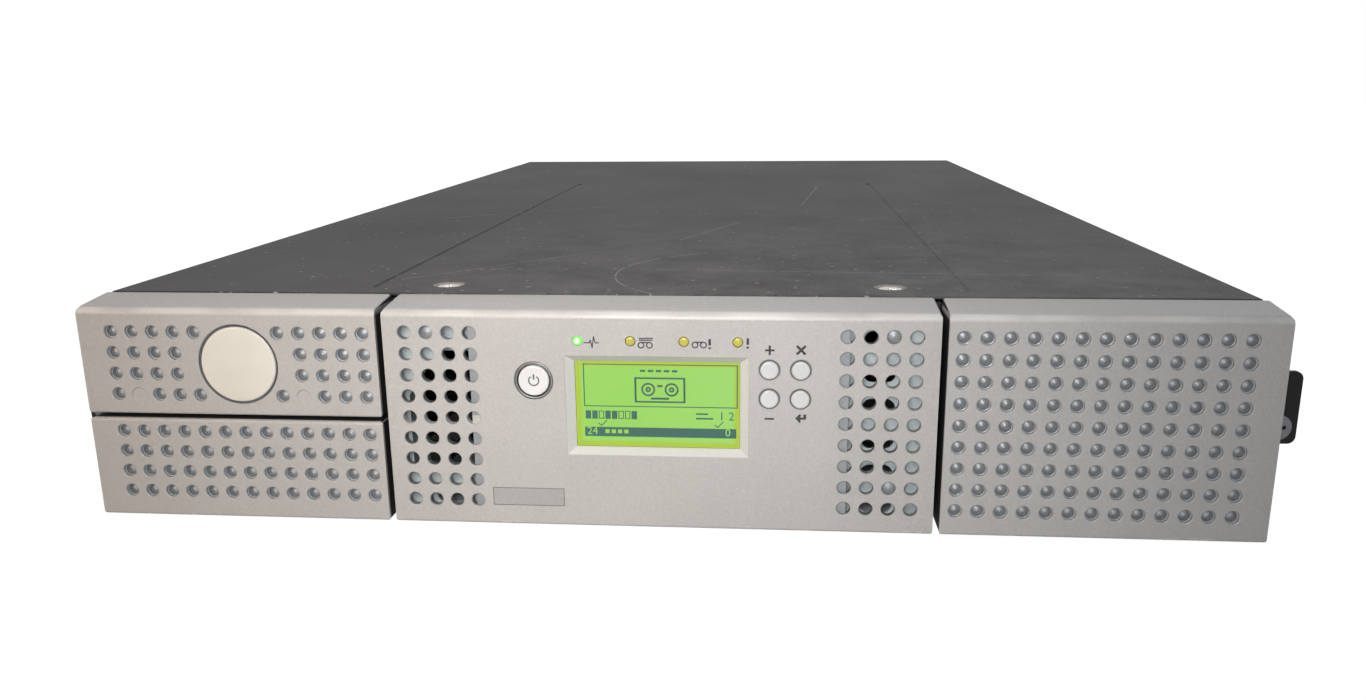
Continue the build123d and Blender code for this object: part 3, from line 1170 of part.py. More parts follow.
def make_bay_guides():
    """The guide walls on the base, one each side of the sled and of the power supply."""
    half = DRIVE_WIDTH / 2 + SLED_SIDE_GAP + SLED_SHEET + PANEL_GAP
    drive_y = (DRIVE_FRONT + GUIDE_SETBACK, CHASSIS_BACK - BASE_SHEET)
    supply_y = (CHASSIS_BACK - SUPPLY_LENGTH, CHASSIS_BACK - BASE_SHEET)
    z = (BASE_SHEET, GUIDE_HEIGHT)
    walls = [block(across(side, half, half + GUIDE_WALL), drive_y, z) for side in (-1, 1)]
    for side, x in ((-1, SUPPLY_X[0] - PANEL_GAP), (1, SUPPLY_X[1] + PANEL_GAP)):
        walls.append(block((x, x + side * GUIDE_WALL), supply_y, z))
    return walls


def supply_plate_face():
    """Y of the outer face of the power supply's rear plate."""
    return CHASSIS_BACK + RUNNING_GAP + SLED_SHEET


def make_supply():
    """The power supply's sheet case with its rear plate, punched fan grille and inlet hole."""
    plate = (CHASSIS_BACK + RUNNING_GAP, supply_plate_face())
    y = (plate[0] - SUPPLY_LENGTH, plate[0])
    case = block(SUPPLY_X, y, SUPPLY_Z)
    inside_x = (SUPPLY_X[0] + SUPPLY_SHEET, SUPPLY_X[1] - SUPPLY_SHEET)
    inside_z = (SUPPLY_Z[0] + SUPPLY_SHEET, SUPPLY_Z[1] - SUPPLY_SHEET)
    case -= block(inside_x, (y[0] + SUPPLY_SHEET, y[1] + 1), inside_z)
    margin = SUPPLY_PLATE_MARGIN
    plate_x = (SUPPLY_X[0] - margin, SUPPLY_X[1] + margin)
    case += block(plate_x, plate, (SUPPLY_Z[0] - 1.0, SUPPLY_Z[1] + margin))
    case -= extrude(facing(plate[0] - 1) * Pos(*FAN_CENTRE) * guard_openings(), -(SLED_SHEET + 2))
    width, height = (size - 4.0 for size in INLET_FLANGE)
    hole = facing(plate[0] - 1) * Pos(*INLET_CENTRE) * Rectangle(width, height)
    return case - extrude(hole, -(SLED_SHEET + 2))


def make_inlet():
    """The mains inlet: its flange on the plate, its body, cavity and three pins."""
    x, z = INLET_CENTRE
    face = supply_plate_face()
    width, height = INLET_FLANGE
    body_width, body_height = width - 4.2, height - 4.2
    inlet = extrude(facing(face) * Pos(x, z) * Rectangle(width, height), -INLET_FLANGE_SHEET)
    body = facing(face) * Pos(x, z) * Rectangle(body_width, body_height)
    inlet += extrude(body, INLET_BODY_DEPTH)
    cavity_width, cavity_height, cavity_depth = INLET_CAVITY
    cavity = facing(face + 3.0) * Pos(x, z) * Rectangle(cavity_width, cavity_height)
    inlet -= extrude(cavity, cavity_depth + 3.0)
    back = face - cavity_depth
    for pin_x, pin_z in INLET_PINS:
        x_span = (x + pin_x - 1.0, x + pin_x + 1.0)
        inlet += block(x_span, (back - 1.0, back + INLET_PIN_LENGTH), (z + pin_z - 2.0, z + pin_z + 2.0))
    return inlet


def make_fan():
    """The supply's fan: its square frame with the motor's struts, and the bladed rotor."""
    x, z = FAN_CENTRE
    back = CHASSIS_BACK + RUNNING_GAP
    front = back - FAN_DEPTH
    half = FAN_FRAME / 2
    frame = block((x - half, x + half), (front, back), (z - half, z + half))
    frame -= rod_y(x, (front - 1, back + 1), z, FAN_BORE_RADIUS)
    strut = rod_y(x, (front, front + 2.0), z, FAN_HUB_RADIUS)
    for angle in (0, 90):
        bar = Box(FAN_FRAME - 1.0, 2.0, 2.6)
        strut += Pos(x, front + 1.0, z) * Rot(0, angle, 0) * bar
    frame += strut
    rotor_span = (front + 2.0 + RUNNING_GAP, back - 1.0)
    rotor = rod_y(x, rotor_span, z, FAN_HUB_RADIUS)
    middle = sum(rotor_span) / 2
    blade_length = FAN_BLADE_RADIUS - FAN_HUB_RADIUS + 1.0
    for blade in range(FAN_BLADES):
        plate = Pos(FAN_HUB_RADIUS - 1.0 + blade_length / 2, 0, 0) * Rot(FAN_BLADE_PITCH, 0, 0)
        plate = plate * Box(blade_length, 10.0, 1.0)
        rotor += Pos(x, middle, z) * Rot(0, 360 / FAN_BLADES * blade, 0) * plate
    return frame, rotor


def guard_openings():
    """The rings of the supply's punched fan grille, drawn as what stays of the sheet."""
    bar = GUARD_RING_WIDTH * 1.6
    span = 2 * FAN_BORE_RADIUS
    stays = Rectangle(span, bar) + Rectangle(bar, span)
    for radius in GUARD_RINGS:
        stays += Circle(radius + GUARD_RING_WIDTH / 2) - Circle(radius - GUARD_RING_WIDTH / 2)
    return Circle(FAN_BORE_RADIUS) - stays


def make_rear_panel():
    """The rear sheet with openings for the sled, the supply and the controller's ports."""
    y = (CHASSIS_BACK - BASE_SHEET, CHASSIS_BACK)
    through = (y[0] - 1, y[1] + 1)
    sheet = block((-WALL_INNER, WALL_INNER), y, (BASE_SHEET, COVER_UNDER))
    sled_half = DRIVE_WIDTH / 2 + SLED_SIDE_GAP + SLED_SHEET + PANEL_GAP
    drive_top = BASE_SHEET + SLED_LIFT + SLED_SHEET + DRIVE_HEIGHT
    sheet -= block((-sled_half, sled_half), through, (BASE_SHEET - 1, drive_top + PANEL_GAP))
    gap = PANEL_GAP
    supply_x = (SUPPLY_X[0] - gap, SUPPLY_X[1] + gap)
    sheet -= block(supply_x, through, (SUPPLY_Z[0] - gap, SUPPLY_Z[1] + gap))
    sheet -= block((CARD_X[0] + 4.0, CARD_X[1] - 4.0), through, (FACEPLATE_Z[0] + 3.0, FACEPLATE_Z[1] - 3.0))
    slot = Rot(0, 0, 90) * SlotOverall(*REAR_SLOT)
    for column in range(9):
        place = Pos(CARD_X[0] + REAR_SLOT_INSET + REAR_SLOT_PITCH * column, REAR_SLOT_Z)
        sheet -= extrude(facing(y[0] - 1) * place * slot, -(BASE_SHEET + 2))
    return sheet


def port(x, size, cavity, low):
    """A rear connector: a metal shell that stands on the card, with its socket."""
    width, height, depth = size
    face = CHASSIS_BACK + BASE_SHEET + 1.0
    shell = block((x - width / 2, x + width / 2), (face - depth, face), (low, low + height))
    cavity_width, cavity_height, cavity_depth = cavity
    middle = low + height / 2
    z = (middle - cavity_height / 2, middle + cavity_height / 2)
    return shell - block((x - cavity_width / 2, x + cavity_width / 2), (face - cavity_depth, face + 1), z)


def make_controller():
    """The controller card on its standoffs, its ports and the faceplate around them."""
    top = CARD_Z + BOARD_SHEET
    y = (CHASSIS_BACK - BASE_SHEET - CARD_DEPTH, CHASSIS_BACK - BASE_SHEET - 0.2)
    card = block(CARD_X, y, (CARD_Z, top))
    for x in (CARD_X[0] + 6.0, CARD_X[1] - 6.0):
        for place in (y[0] + 6.0, y[1] - 10.0):
            card += rod_z(x, place, (BASE_SHEET, CARD_Z), 3.0)
    jack = port(JACK_X, JACK, JACK_CAVITY, top)
    usb = port(USB_X, USB, USB_CAVITY, top)
    face = CHASSIS_BACK + BASE_SHEET
    plate = block((CARD_X[0] + 1.0, CARD_X[1] - 1.0), (CHASSIS_BACK, face), FACEPLATE_Z)
    for x, size in ((JACK_X, JACK), (USB_X, USB)):
        half = size[0] / 2 + 0.3
        z = (top - 0.3, top + size[1] + 0.3)
        plate -= block((x - half, x + half), (CHASSIS_BACK - 1, face + 1), z)
    return card, jack, usb, plate


def write_front():
    """The centre bezel and everything that is mounted in it."""
    write("centre_bezel", make_centre_bezel())
    module, window = make_display()
    write("display_module", module)
    write("display_window", window)
    write("control_board", make_board())
    write("ready_lamp", *make_lamps(LED_X[:1]))
    write("status_lamps", *make_lamps(LED_X[1:]))
    write("power_button", make_button(POWER_CENTRE, POWER_CAP_RADIUS, 0.0))
    for name, centre in KEY_CENTRES.items():
        write(name, make_button(centre, KEY_RADIUS, BUTTON_PROUD))


def write_case():
    """The chassis: base, cover, bulkhead, rear panel, ears and fasteners."""
    write("front_bulkhead", make_bulkhead())
    write("base_tray", make_base())
    write("top_cover", make_cover())
    write("rear_panel", make_rear_panel())
    write("case_screws", *make_case_screws())
    write("rack_ears", make_ear(-1), make_ear(1))
    write("rack_ear_screws", *make_ear_screws())


def write_magazines():
    """Both magazines, the I/O station and the tracks."""
    for name, side, with_station in (("left", -1, True), ("right", 1, False)):
        write(f"{name}_magazine_frame", make_magazine_frame(side, with_station))
        write(f"{name}_magazine_dividers", *make_dividers(side))
        write(f"{name}_magazine_shelves", *make_shelves(side))
        write(f"{name}_magazine_springs", *make_springs(side, with_station))
    write("magazine_tracks", *make_tracks())
    write("right_magazine_bezel", make_right_bezel())
    write("left_magazine_bezel", make_left_bezel())
    write("badge_disc", make_badge())
    write("io_station_bezel", make_io_bezel())
    write("io_station_tray", make_io_tray())


def write_robot():
    """The robot: its rod, rack, carriage, lift, tray and gripper."""
    write("guide_rod", make_guide_rod())
    write("drive_rack", make_rack())
    write("travel_pinion", make_pinion())
    write("carriage_plate", make_carriage_plate())
    write("carriage_bearings", *make_carriage_bearings())
    write("lift_posts", *make_lift_posts())
    brace, motor = make_lift_brace()
    write("lift_brace", brace)
    write("carriage_motors", make_travel_motor(), motor)
    write("lift_screw", make_lift_screw())
    write("lift_platform", make_platform())
    write("cartridge_tray", make_tray())
    write("gripper_fork", make_fork())
    write("barcode_reader", make_reader())


def write_rear():
    """The drive on its sled, the power supply and the controller."""
    write("tape_drive", make_drive())
    write("drive_sled", make_sled())
    write("drive_ports", *make_sled_ports())
    reach = REAR_REACH - RUNNING_GAP - SLED_SHEET
    write("sled_handle", make_handle(SLED_PLATE_HALF_WIDTH - SLED_HANDLE_INSET, SLED_HANDLE_Z, reach))
    write("sled_thumbscrews", *make_thumbscrews())
    write("bay_guides", *make_bay_guides())
    write("power_supply", make_supply())
    handle_x = SUPPLY_X[1] - SUPPLY_HANDLE_INSET
    write("supply_handle", make_handle(handle_x, SUPPLY_HANDLE_Z, SUPPLY_HANDLE_REACH, SUPPLY_HANDLE_BAR))
    write("power_inlet", make_inlet())
    frame, rotor = make_fan()
    write("fan_frame", frame)
    write("fan_rotor", rotor)
    card, jack, usb, plate = make_controller()
    write("controller_card", card)
    write("network_jack", jack)
    write("usb_port", usb)
    write("controller_faceplate", plate)


os.makedirs("parts", exist_ok=True)
write_front()
write_case()
write_magazines()
write_robot()
write_rear()
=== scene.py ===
"""Looks of a 2U data tape library: painted bezels with drilled dimples, a lit display, soft keys,
a worn charcoal cover and the modules behind. Metres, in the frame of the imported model."""

import json
import math

import bpy
from mathutils import Matrix, Vector


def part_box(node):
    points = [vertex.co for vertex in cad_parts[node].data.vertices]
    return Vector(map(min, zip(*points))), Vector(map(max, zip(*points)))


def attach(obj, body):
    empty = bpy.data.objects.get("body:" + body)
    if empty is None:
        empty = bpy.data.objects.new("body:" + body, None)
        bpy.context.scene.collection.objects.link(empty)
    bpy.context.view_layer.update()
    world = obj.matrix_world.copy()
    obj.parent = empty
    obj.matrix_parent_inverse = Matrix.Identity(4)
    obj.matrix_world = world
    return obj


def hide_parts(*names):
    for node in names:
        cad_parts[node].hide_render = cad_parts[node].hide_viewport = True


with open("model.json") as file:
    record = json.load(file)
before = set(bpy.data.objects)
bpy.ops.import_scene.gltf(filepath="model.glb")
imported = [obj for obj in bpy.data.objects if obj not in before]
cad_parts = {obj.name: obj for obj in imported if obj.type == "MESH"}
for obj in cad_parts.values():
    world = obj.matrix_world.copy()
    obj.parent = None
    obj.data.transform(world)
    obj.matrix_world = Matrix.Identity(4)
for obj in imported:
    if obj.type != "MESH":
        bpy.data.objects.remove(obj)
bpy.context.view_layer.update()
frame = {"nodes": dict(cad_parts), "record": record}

MM = 0.001

# Faces and grids that the bezels share.
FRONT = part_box("centre_bezel")[0].y
CHASSIS_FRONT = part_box("base_tray")[0].y
BEZEL_RIDGE = 85.0 * MM
BEZEL_WALL = 2.4 * MM
FRONT_WALL = 3.2 * MM
TOP_RADIUS = 3.0 * MM
EDGE_RADIUS = 1.3 * MM
FOOT_RADIUS = 1.1 * MM
HOLE_RADIUS = 2.6 * MM
HOLE_PITCH = 8.28 * MM
HOLE_SIDES = 20
RIM = 0.3 * MM
SIDE_MARGIN = 5.4 * MM
VENT_MARGIN = 8.4 * MM
SIDE_COLUMNS = 13
VENT_COLUMNS = 4
FULL_TOP_ROW = 76.4 * MM
UPPER_TOP_ROW = 75.5 * MM
LOWER_TOP_ROW = 35.7 * MM
DIMPLE_FIELD_X = (107.0, 214.5)
DIMPLE_FIELD_Z = (6.5, 80.5)
VENT_FIELD_X = (66.4, 98.5)
UPRIGHT_SEAM_X = (102.9, 106.1)
LEVEL_SEAM_Z = (40.7, 43.1)
POWER_KEY = (-46.2, 58.4)
POWER_RING = 7.35
POWER_CAP = 5.9
KEY_CAP = 3.38
KEYS = ("plus_button", "cancel_button", "minus_button", "enter_button")
READY_LAMP = (-29.2, 74.0)
LAMP_X = (READY_LAMP[0], -9.4, 10.4, 30.2)
DISPLAY_FLOOR = (62.0 * MM, 33.6 * MM)
DISPLAY_MOUTH = (68.8 * MM, 38.9 * MM)
DISPLAY_DEPTH = 2.6 * MM
INK = 0.03 * MM
COVER_SCREW = (88.5, FRONT / MM + 39.0)

# Dimples (column, row) of the upper left front that are nearly filled, and blind vent holes by side.
FILLED_DIMPLES = {(3, 3), (11, 3)}
BLIND_VENTS = {-1: {(1, 0)}, 1: {(1, 0), (1, 7)}}

# Scratches of the cover: (x, y behind the front) of both ends and the width, in millimetres.
COVER_SCRATCHES = [
    ((-15, 78), (150, 68), 0.30), ((-112, 50), (-40, 130), 0.28), ((-95, 62), (-62, 92), 0.22),
    ((-6, 168), (22, 240), 0.30), ((96, 150), (128, 128), 0.25), ((-160, 260), (-60, 330), 0.3),
    ((60, 330), (75, 460), 0.3),
]

SLOT_OF = {entry["node"]: entry["material_slot"] for entry in frame["record"]["subparts"]}
NODE_BODY = {
    node: body for body, nodes in frame["record"]["behaviour"]["bodies"].items() for node in nodes
}


def centre_of(node):
    """The middle of a node's box."""
    low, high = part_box(node)
    return (low + high) / 2


def ops_mode(obj, mode):
    """Makes one object the only selected and active one, in the given mode."""
    if bpy.context.object and bpy.context.object.mode != "OBJECT":
        bpy.ops.object.mode_set(mode="OBJECT")
    bpy.ops.object.select_all(action="DESELECT")
    obj.select_set(True)
    bpy.context.view_layer.objects.active = obj
    bpy.ops.object.mode_set(mode=mode)


def settle(obj):
    """Puts the object's place, turn and scale into its mesh."""
    ops_mode(obj, "OBJECT")
    bpy.ops.object.transform_apply(location=True, rotation=True, scale=True)
    return obj


def start(name):
    """Names the primitive that was just added and settles it."""
    obj = bpy.context.object
    obj.name = name
    obj.data.name = name
    return settle(obj)


def block(name, low, high):
    """A box between two corners, ready to be shaped."""
    bpy.ops.object.select_all(action="DESELECT")
    low, high = Vector(low), Vector(high)
    bpy.ops.mesh.primitive_cube_add(size=1, location=(low + high) / 2)
    bpy.context.object.scale = high - low
    return start(name)


def pick(obj, faces=None, edges=None, points=None):
    """Selects, in edit mode, the faces, edges or points for which the test is true."""
    ops_mode(obj, "EDIT")
    kind = "FACE" if faces else "EDGE" if edges else "VERT"
    bpy.ops.mesh.select_mode(type=kind)
    bpy.ops.mesh.select_all(action="DESELECT")
    bpy.ops.object.mode_set(mode="OBJECT")
    mesh = obj.data
    if faces:
        for face in mesh.polygons:
            face.select = bool(faces(face))
    elif edges:
        for edge in mesh.edges:
            first, second = (mesh.vertices[i].co for i in edge.vertices)
            edge.select = bool(edges(first, second))
    else:
        for point in mesh.vertices:
            point.select = bool(points(point.co))
    bpy.ops.object.mode_set(mode="EDIT")


def done(obj):
    """Back to object mode."""
    bpy.ops.object.mode_set(mode="OBJECT")
    return obj


def modify(obj, kind, **settings):
    """Adds a modifier and applies it."""
    ops_mode(obj, "OBJECT")
    modifier = obj.modifiers.new(kind.title(), kind)
    for key, value in settings.items():
        setattr(modifier, key, value)
    bpy.ops.object.modifier_apply(modifier=modifier.name)
    return obj


def smooth(obj, angle=32):
    """Smooth shading across soft edges only."""
    ops_mode(obj, "OBJECT")
    bpy.ops.object.shade_smooth_by_angle(angle=math.radians(angle))
    return modify(obj, "WEIGHTED_NORMAL", keep_sharp=True)


def soften(obj, width, segments=2, angle=40):
    """Rounds every edge that is sharper than the angle."""
    modify(obj, "BEVEL", width=width, segments=segments, limit_method="ANGLE",
           angle_limit=math.radians(angle), harden_normals=False, use_clamp_overlap=True)
    return smooth(obj)


def join(name, parts):
    """Joins several objects into the first one."""
    bpy.ops.object.select_all(action="DESELECT")
    for part in parts:
        part.select_set(True)
    bpy.context.view_layer.objects.active = parts[0]
    if len(parts) > 1:
        bpy.ops.object.join()
    parts[0].name = name
    parts[0].data.name = name
    return parts[0]


def cut(obj, cutters):
    """Takes the cutters' shapes out of the object."""
    tool = join("cutter", cutters)
    modify(obj, "BOOLEAN", object=tool, operation="DIFFERENCE", solver="EXACT")
    bpy.data.objects.remove(tool)
    return obj


def across(obj, x, z):
    """Moves a form that was modelled on the Y axis across the front."""
    obj.data.transform(Matrix.Translation((x, 0, z)))
    return obj


def over(obj, node):
    """Moves a form that was modelled on the Y axis to the middle of a node."""
    place = centre_of(node)
    return across(obj, place.x, place.z)


def copy_at(pattern, x, z):
    """A copy of a pattern that was modelled on the Y axis, moved across the front."""
    twin = pattern.copy()
    twin.data = pattern.data.copy()
    bpy.context.collection.objects.link(twin)
    return across(twin, x, z)


def profile(start_y, *pairs):
    """Rings (y, radius) from pairs of a depth behind start_y and a radius, both in millimetres."""
    return [(start_y + depth * MM, radius * MM) for depth, radius in pairs]


def turned(name, rings, sides=HOLE_SIDES):
    """A closed round form about the Y axis through a list of (y, radius), made by extruding rings."""
    bpy.ops.object.select_all(action="DESELECT")
    y, radius = rings[0]
    bpy.ops.mesh.primitive_circle_add(
        vertices=sides, radius=radius, fill_type="NGON", location=(0, y, 0), rotation=(math.pi / 2, 0, 0)
    )
    obj = start(name)
    ops_mode(obj, "EDIT")
    bpy.ops.mesh.select_all(action="SELECT")
    for next_y, next_radius in rings[1:]:
        bpy.ops.mesh.extrude_region_move(TRANSFORM_OT_translate={"value": (0, next_y - y, 0)})
        scale = next_radius / radius
        bpy.ops.transform.resize(value=(scale, 1, scale), center_override=(0, next_y, 0))
        y, radius = next_y, next_radius
    bpy.ops.mesh.select_all(action="SELECT")
    bpy.ops.mesh.normals_make_consistent(inside=False)
    return done(obj)


def hoop(name, rings, sides=HOLE_SIDES):
    """A ring about the Y axis: the first and last circles are bridged instead of filled."""
    obj = turned(name, rings, sides)
    pick(obj, faces=lambda face: len(face.vertices) == sides)
    bpy.ops.mesh.delete(type="ONLY_FACE")
    bpy.ops.mesh.select_mode(type="EDGE")
    bpy.ops.mesh.select_non_manifold()
    bpy.ops.mesh.bridge_edge_loops()
    bpy.ops.mesh.select_all(action="SELECT")
    bpy.ops.mesh.normals_make_consistent(inside=False)
    return done(obj)


def grid(x_start, x_step, columns, z_top, rows):
    """Hole places as (column, row, x, z), from x_start and down from z_top."""
    return [
        (column, row, x_start + x_step * column, z_top - HOLE_PITCH * row)
        for column in range(columns)
        for row in range(rows)
    ]


class Shade:
    """A node's output that takes part in sums, products and comparisons."""

    def __init__(self, nodes, socket):
        self.nodes = nodes
        self.socket = socket

    def math(self, operation, *others):
        inputs = dict(enumerate((self, *others)))
        return self.nodes.node("ShaderNodeMath", {"operation": operation}, inputs)

    def __add__(self, other):
        return self.math("ADD", other)

    def __sub__(self, other):
        return self.math("SUBTRACT", other)

    def __mul__(self, other):
        return self.math("MULTIPLY", other)

    def __truediv__(self, other):
        return self.math("DIVIDE", other)

    def __rsub__(self, other):
        return self.math("MULTIPLY", -1.0) + other

    def __pow__(self, other):
        return self.math("POWER", other)

    def __gt__(self, other):
        return self.math("GREATER_THAN", other)

    def __lt__(self, other):
        return self.math("LESS_THAN", other)

    __radd__ = __add__
    __rmul__ = __mul__

    def clamp(self):
        return self.math("MINIMUM", 1.0).math("MAXIMUM", 0.0)

    def between(self, low, high):
        """0 below low, 1 above high and even in between."""
        return ((self - low) / (high - low)).clamp()


def fill_ramp(ramp, stops):
    """Sets a colour ramp's stops, each a position and a colour."""
    while len(ramp.elements) < len(stops):
        ramp.elements.new(0.5)
    for element, (position, colour) in zip(ramp.elements, stops):
        element.position = position
        element.color = (*colour, 1.0)


class Nodes:
    """A node tree, to which every new node is added by one method."""

    def __init__(self, tree):
        self.tree = tree

    def node(self, kind, settings=None, inputs=None, output=0):
        node = self.tree.nodes.new(kind)
        for key, value in (settings or {}).items():
            if key == "stops":
                fill_ramp(node.color_ramp, value)
            else:
                setattr(node, key, value)
        for key, value in (inputs or {}).items():
            self.feed(node.inputs[key], value)
        return Shade(self, node.outputs[output])

    def feed(self, socket, value):
        if isinstance(value, Shade):
            self.tree.links.new(value.socket, socket)
        elif hasattr(socket.default_value, "__len__") and len(socket.default_value) == 4:
            socket.default_value = (*value, 1.0) if len(value) == 3 else value
        else:
            socket.default_value = value

    def own(self, name):
        """The output of a node that the tree came with."""
        return Shade(self, self.tree.nodes[name].outputs[0])

    def surface(self, output, plain, seen):
        """Shows a shader to the camera, reflections and glass, and a plain one to diffuse light."""
        camera, glossy, glass = (
            self.node("ShaderNodeLightPath", output=f"Is {ray} Ray")
            for ray in ("Camera", "Glossy", "Transmission")
        )
        factor = camera.math("MAXIMUM", glossy).math("MAXIMUM", glass)
        mixed = self.node("ShaderNodeMixShader", inputs={0: factor, 1: plain, 2: seen})
        self.feed(self.tree.nodes[output].inputs["Surface"], mixed)


class Finish(Nodes):
    """One procedural surface finish."""

    def __init__(self, name, **constants):
        self.material = bpy.data.materials.new(name)
        self.material.use_nodes = True
        super().__init__(self.material.node_tree)
        self.shader = self.tree.nodes["Principled BSDF"]
        self.set(**constants)
        self.place = self.node("ShaderNodeTexCoord", output="Object")

    def set(self, **values):
        for key, value in values.items():
            self.feed(self.shader.inputs[key.replace("_", " ")], value)
        return self

    def part(self, vector, axis):
        """X, Y or Z of a vector or a colour."""
        return self.node("ShaderNodeSeparateXYZ", inputs={0: vector}, output=axis)

    def split(self):
        """X, Y and Z of the place, in millimetres."""
        return [self.part(self.place, axis) * 1000.0 for axis in "XYZ"]

    def stretched(self, x, y, z, place=None):
        """The place scaled by three numbers, for a grain that runs one way."""
        inputs = {0: place or self.place, 1: (x, y, z)}
        return self.node("ShaderNodeVectorMath", {"operation": "MULTIPLY"}, inputs)

    def hairs(self, degrees, length=7.0, fineness=900.0, share=0.74):
        """1 on broken hairline scratches across the top that run at one angle."""
        inputs = {"Vector": self.place, "Angle": math.radians(degrees)}
        place = self.node("ShaderNodeVectorRotate", {"rotation_type": "Z_AXIS"}, inputs)
        return self.noise(1.0, 1.0, 0.5, self.stretched(length, fineness, 1.0, place)) > share

    def noise(self, scale, detail=2.0, roughness=0.5, vector=None):
        inputs = {"Vector": vector or self.place, "Scale": scale, "Detail": detail}
        inputs["Roughness"] = roughness
        return self.node("ShaderNodeTexNoise", inputs=inputs)

    def cells(self, scale, feature="F1", output="Distance", vector=None):
        inputs = {"Vector": vector or self.place, "Scale": scale}
        return self.node("ShaderNodeTexVoronoi", {"feature": feature}, inputs, output)

    def chances(self, scale, axis):
        """A random number for each cell."""
        return self.part(self.cells(scale, "F1", "Color"), axis)

    def ramp(self, value, *stops):
        return self.node("ShaderNodeValToRGB", {"stops": stops}, {"Fac": value}, "Color")

    def mix(self, factor, first, second):
        node = self.node("ShaderNodeMix", {"data_type": "RGBA"}).socket.node
        colours = [s for s in node.inputs if s.type == "RGBA"]
        self.feed(node.inputs[0], factor)
        self.feed(colours[0], first)
        self.feed(colours[1], second)
        return Shade(self, next(s for s in node.outputs if s.type == "RGBA"))

    def relief(self, height, strength=0.3, distance=0.0002):
        inputs = {"Height": height, "Strength": strength, "Distance": distance}
        return self.set(Normal=self.node("ShaderNodeBump", inputs=inputs, output="Normal"))


def dress(obj, finish):
    """Gives the object one material."""
    obj.data.materials.clear()
    obj.data.materials.append(finish.material)
    return obj


def mount(obj, body, finish, node=None):
    """Finishes a new piece: its material, the body it rides on and the node it stands for."""
    dress(obj, finish)
    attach(obj, body)
    if node:
        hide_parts(node)
    return obj


def distance(x, y, centre):
    """How far a place (x, y) is from a centre."""
    off_x, off_y = x - centre[0], y - centre[1]
    return (off_x * off_x + off_y * off_y) ** 0.5


def within(value, limits):
    """1 between two limits."""
    return (value > limits[0]) * (value < limits[1])


def scratch(x, y, first, last, width):
    """1 on a straight scratch between two points of the cover, in millimetres."""
    (ax, ay), (bx, by) = first, last
    dx, dy = bx - ax, by - ay
    along = (((x - ax) * dx + (y - ay) * dy) / (dx * dx + dy * dy)).clamp()
    return distance(x, y, (along * dx + ax, along * dy + ay)) < width


def arc_scratch(x, y, centre, radius, x_limit, width):
    """1 on the part of a circle left of x_limit, in millimetres."""
    gap = (distance(x, y, centre) - radius).math("ABSOLUTE")
    return (gap < width) * (x < x_limit)


def cover_finish():
    """Charcoal powder coat, worn: fine texture, cloudy wear, scratches, dust towards the front, and a
    painted sheen near the front middle.
    """
    f = Finish("charcoal_powder_coat", Specular_IOR_Level=0.09)
    x, y, z = f.split()
    clouds = f.noise(9.0, 4.0, 0.62)
    wiping = f.noise(1.0, 3.0, 0.6, f.stretched(40.0, 5.0, 5.0))
    stops = (0.30, (0.042, 0.039, 0.040)), (0.75, (0.078, 0.075, 0.077))
    colour = f.ramp(clouds * 0.7 + wiping * 0.3, *stops)
    hairlines = f.hairs(-12.0) + f.hairs(34.0, 9.0, 800.0) + f.hairs(-58.0, 12.0, 700.0, 0.76)
    hairlines = hairlines * f.noise(11.0, 2.0).between(0.50, 0.62)
    front = FRONT / MM
    marks = arc_scratch(x, y, (38, front + 68), 62, 12, 0.30)
    for (ax, ay), (bx, by), width in COVER_SCRATCHES:
        marks = marks + scratch(x, y, (ax, front + ay), (bx, front + by), width)
    broken = f.noise(160.0, 2.0) > 0.42
    worn = (marks * broken * 0.75 + hairlines * 0.28).clamp()
    grains = f.cells(190.0)
    chance = f.chances(190.0, "X")
    nearness = 1.0 - y.between(front + 20, front + 420)
    drift = f.noise(8.0, 2.0).between(0.40, 0.65)
    dust = (grains < 0.17) * (chance > (0.985 - nearness * (drift * 0.22 + 0.06)))
    fluff = (f.cells(430.0) < 0.20) * (f.noise(55.0, 2.0) > 0.60) * nearness
    big = (f.cells(70.0) < 0.085) * (f.noise(23.0, 1.0) > 0.60) * nearness
    specks = (dust + big + fluff * 0.6).clamp()
    colour = f.mix(worn, colour, (0.42, 0.41, 0.40))
    colour = f.mix(specks * 0.75, colour, (0.55, 0.54, 0.52))
    reach = distance(x.math("ABSOLUTE"), y, COVER_SCREW) + f.noise(300.0, 3.0) * 1.6
    bare_wear_and_gap_shade = 1.0 - reach.between(6.6, 7.4)
    # Painted sheen, with some dusty film: a lighter cloudy patch near the front, strongest round x = 80
    # mm.
    middle = 1.0 - (x - 80.0).math("ABSOLUTE").between(90.0, 240.0)
    film = f.noise(30.0, 5.0, 0.7).between(0.30, 0.75) * nearness * (middle * 0.50 + 0.10)
    colour = f.mix(film, colour, (0.30, 0.29, 0.28))
    colour = f.mix(bare_wear_and_gap_shade * 0.9, colour, (0.50, 0.47, 0.42))
    grain = f.noise(900.0, 2.0)
    f.set(Base_Color=colour, Roughness=(clouds * 0.22 + 0.46 + specks * 0.3 - worn * 0.1))
    return f.relief(grain * 0.6 - worn * 0.8 + specks * 0.5, 0.25, 0.0001)


def dimple_shade(x, y, z):
    """1 on the walls and floors of the perforations, where shade is painted, from a place in
    millimetres.
    """
    out = x.math("ABSOLUTE")
    seam = (x < 0.0) * within(z, (39.5, 44.0))
    deep = (y > FRONT / MM + 0.8) * within(z, DIMPLE_FIELD_Z) * (1.0 - seam)
    return deep * (within(out, DIMPLE_FIELD_X) + within(out, VENT_FIELD_X)).clamp()


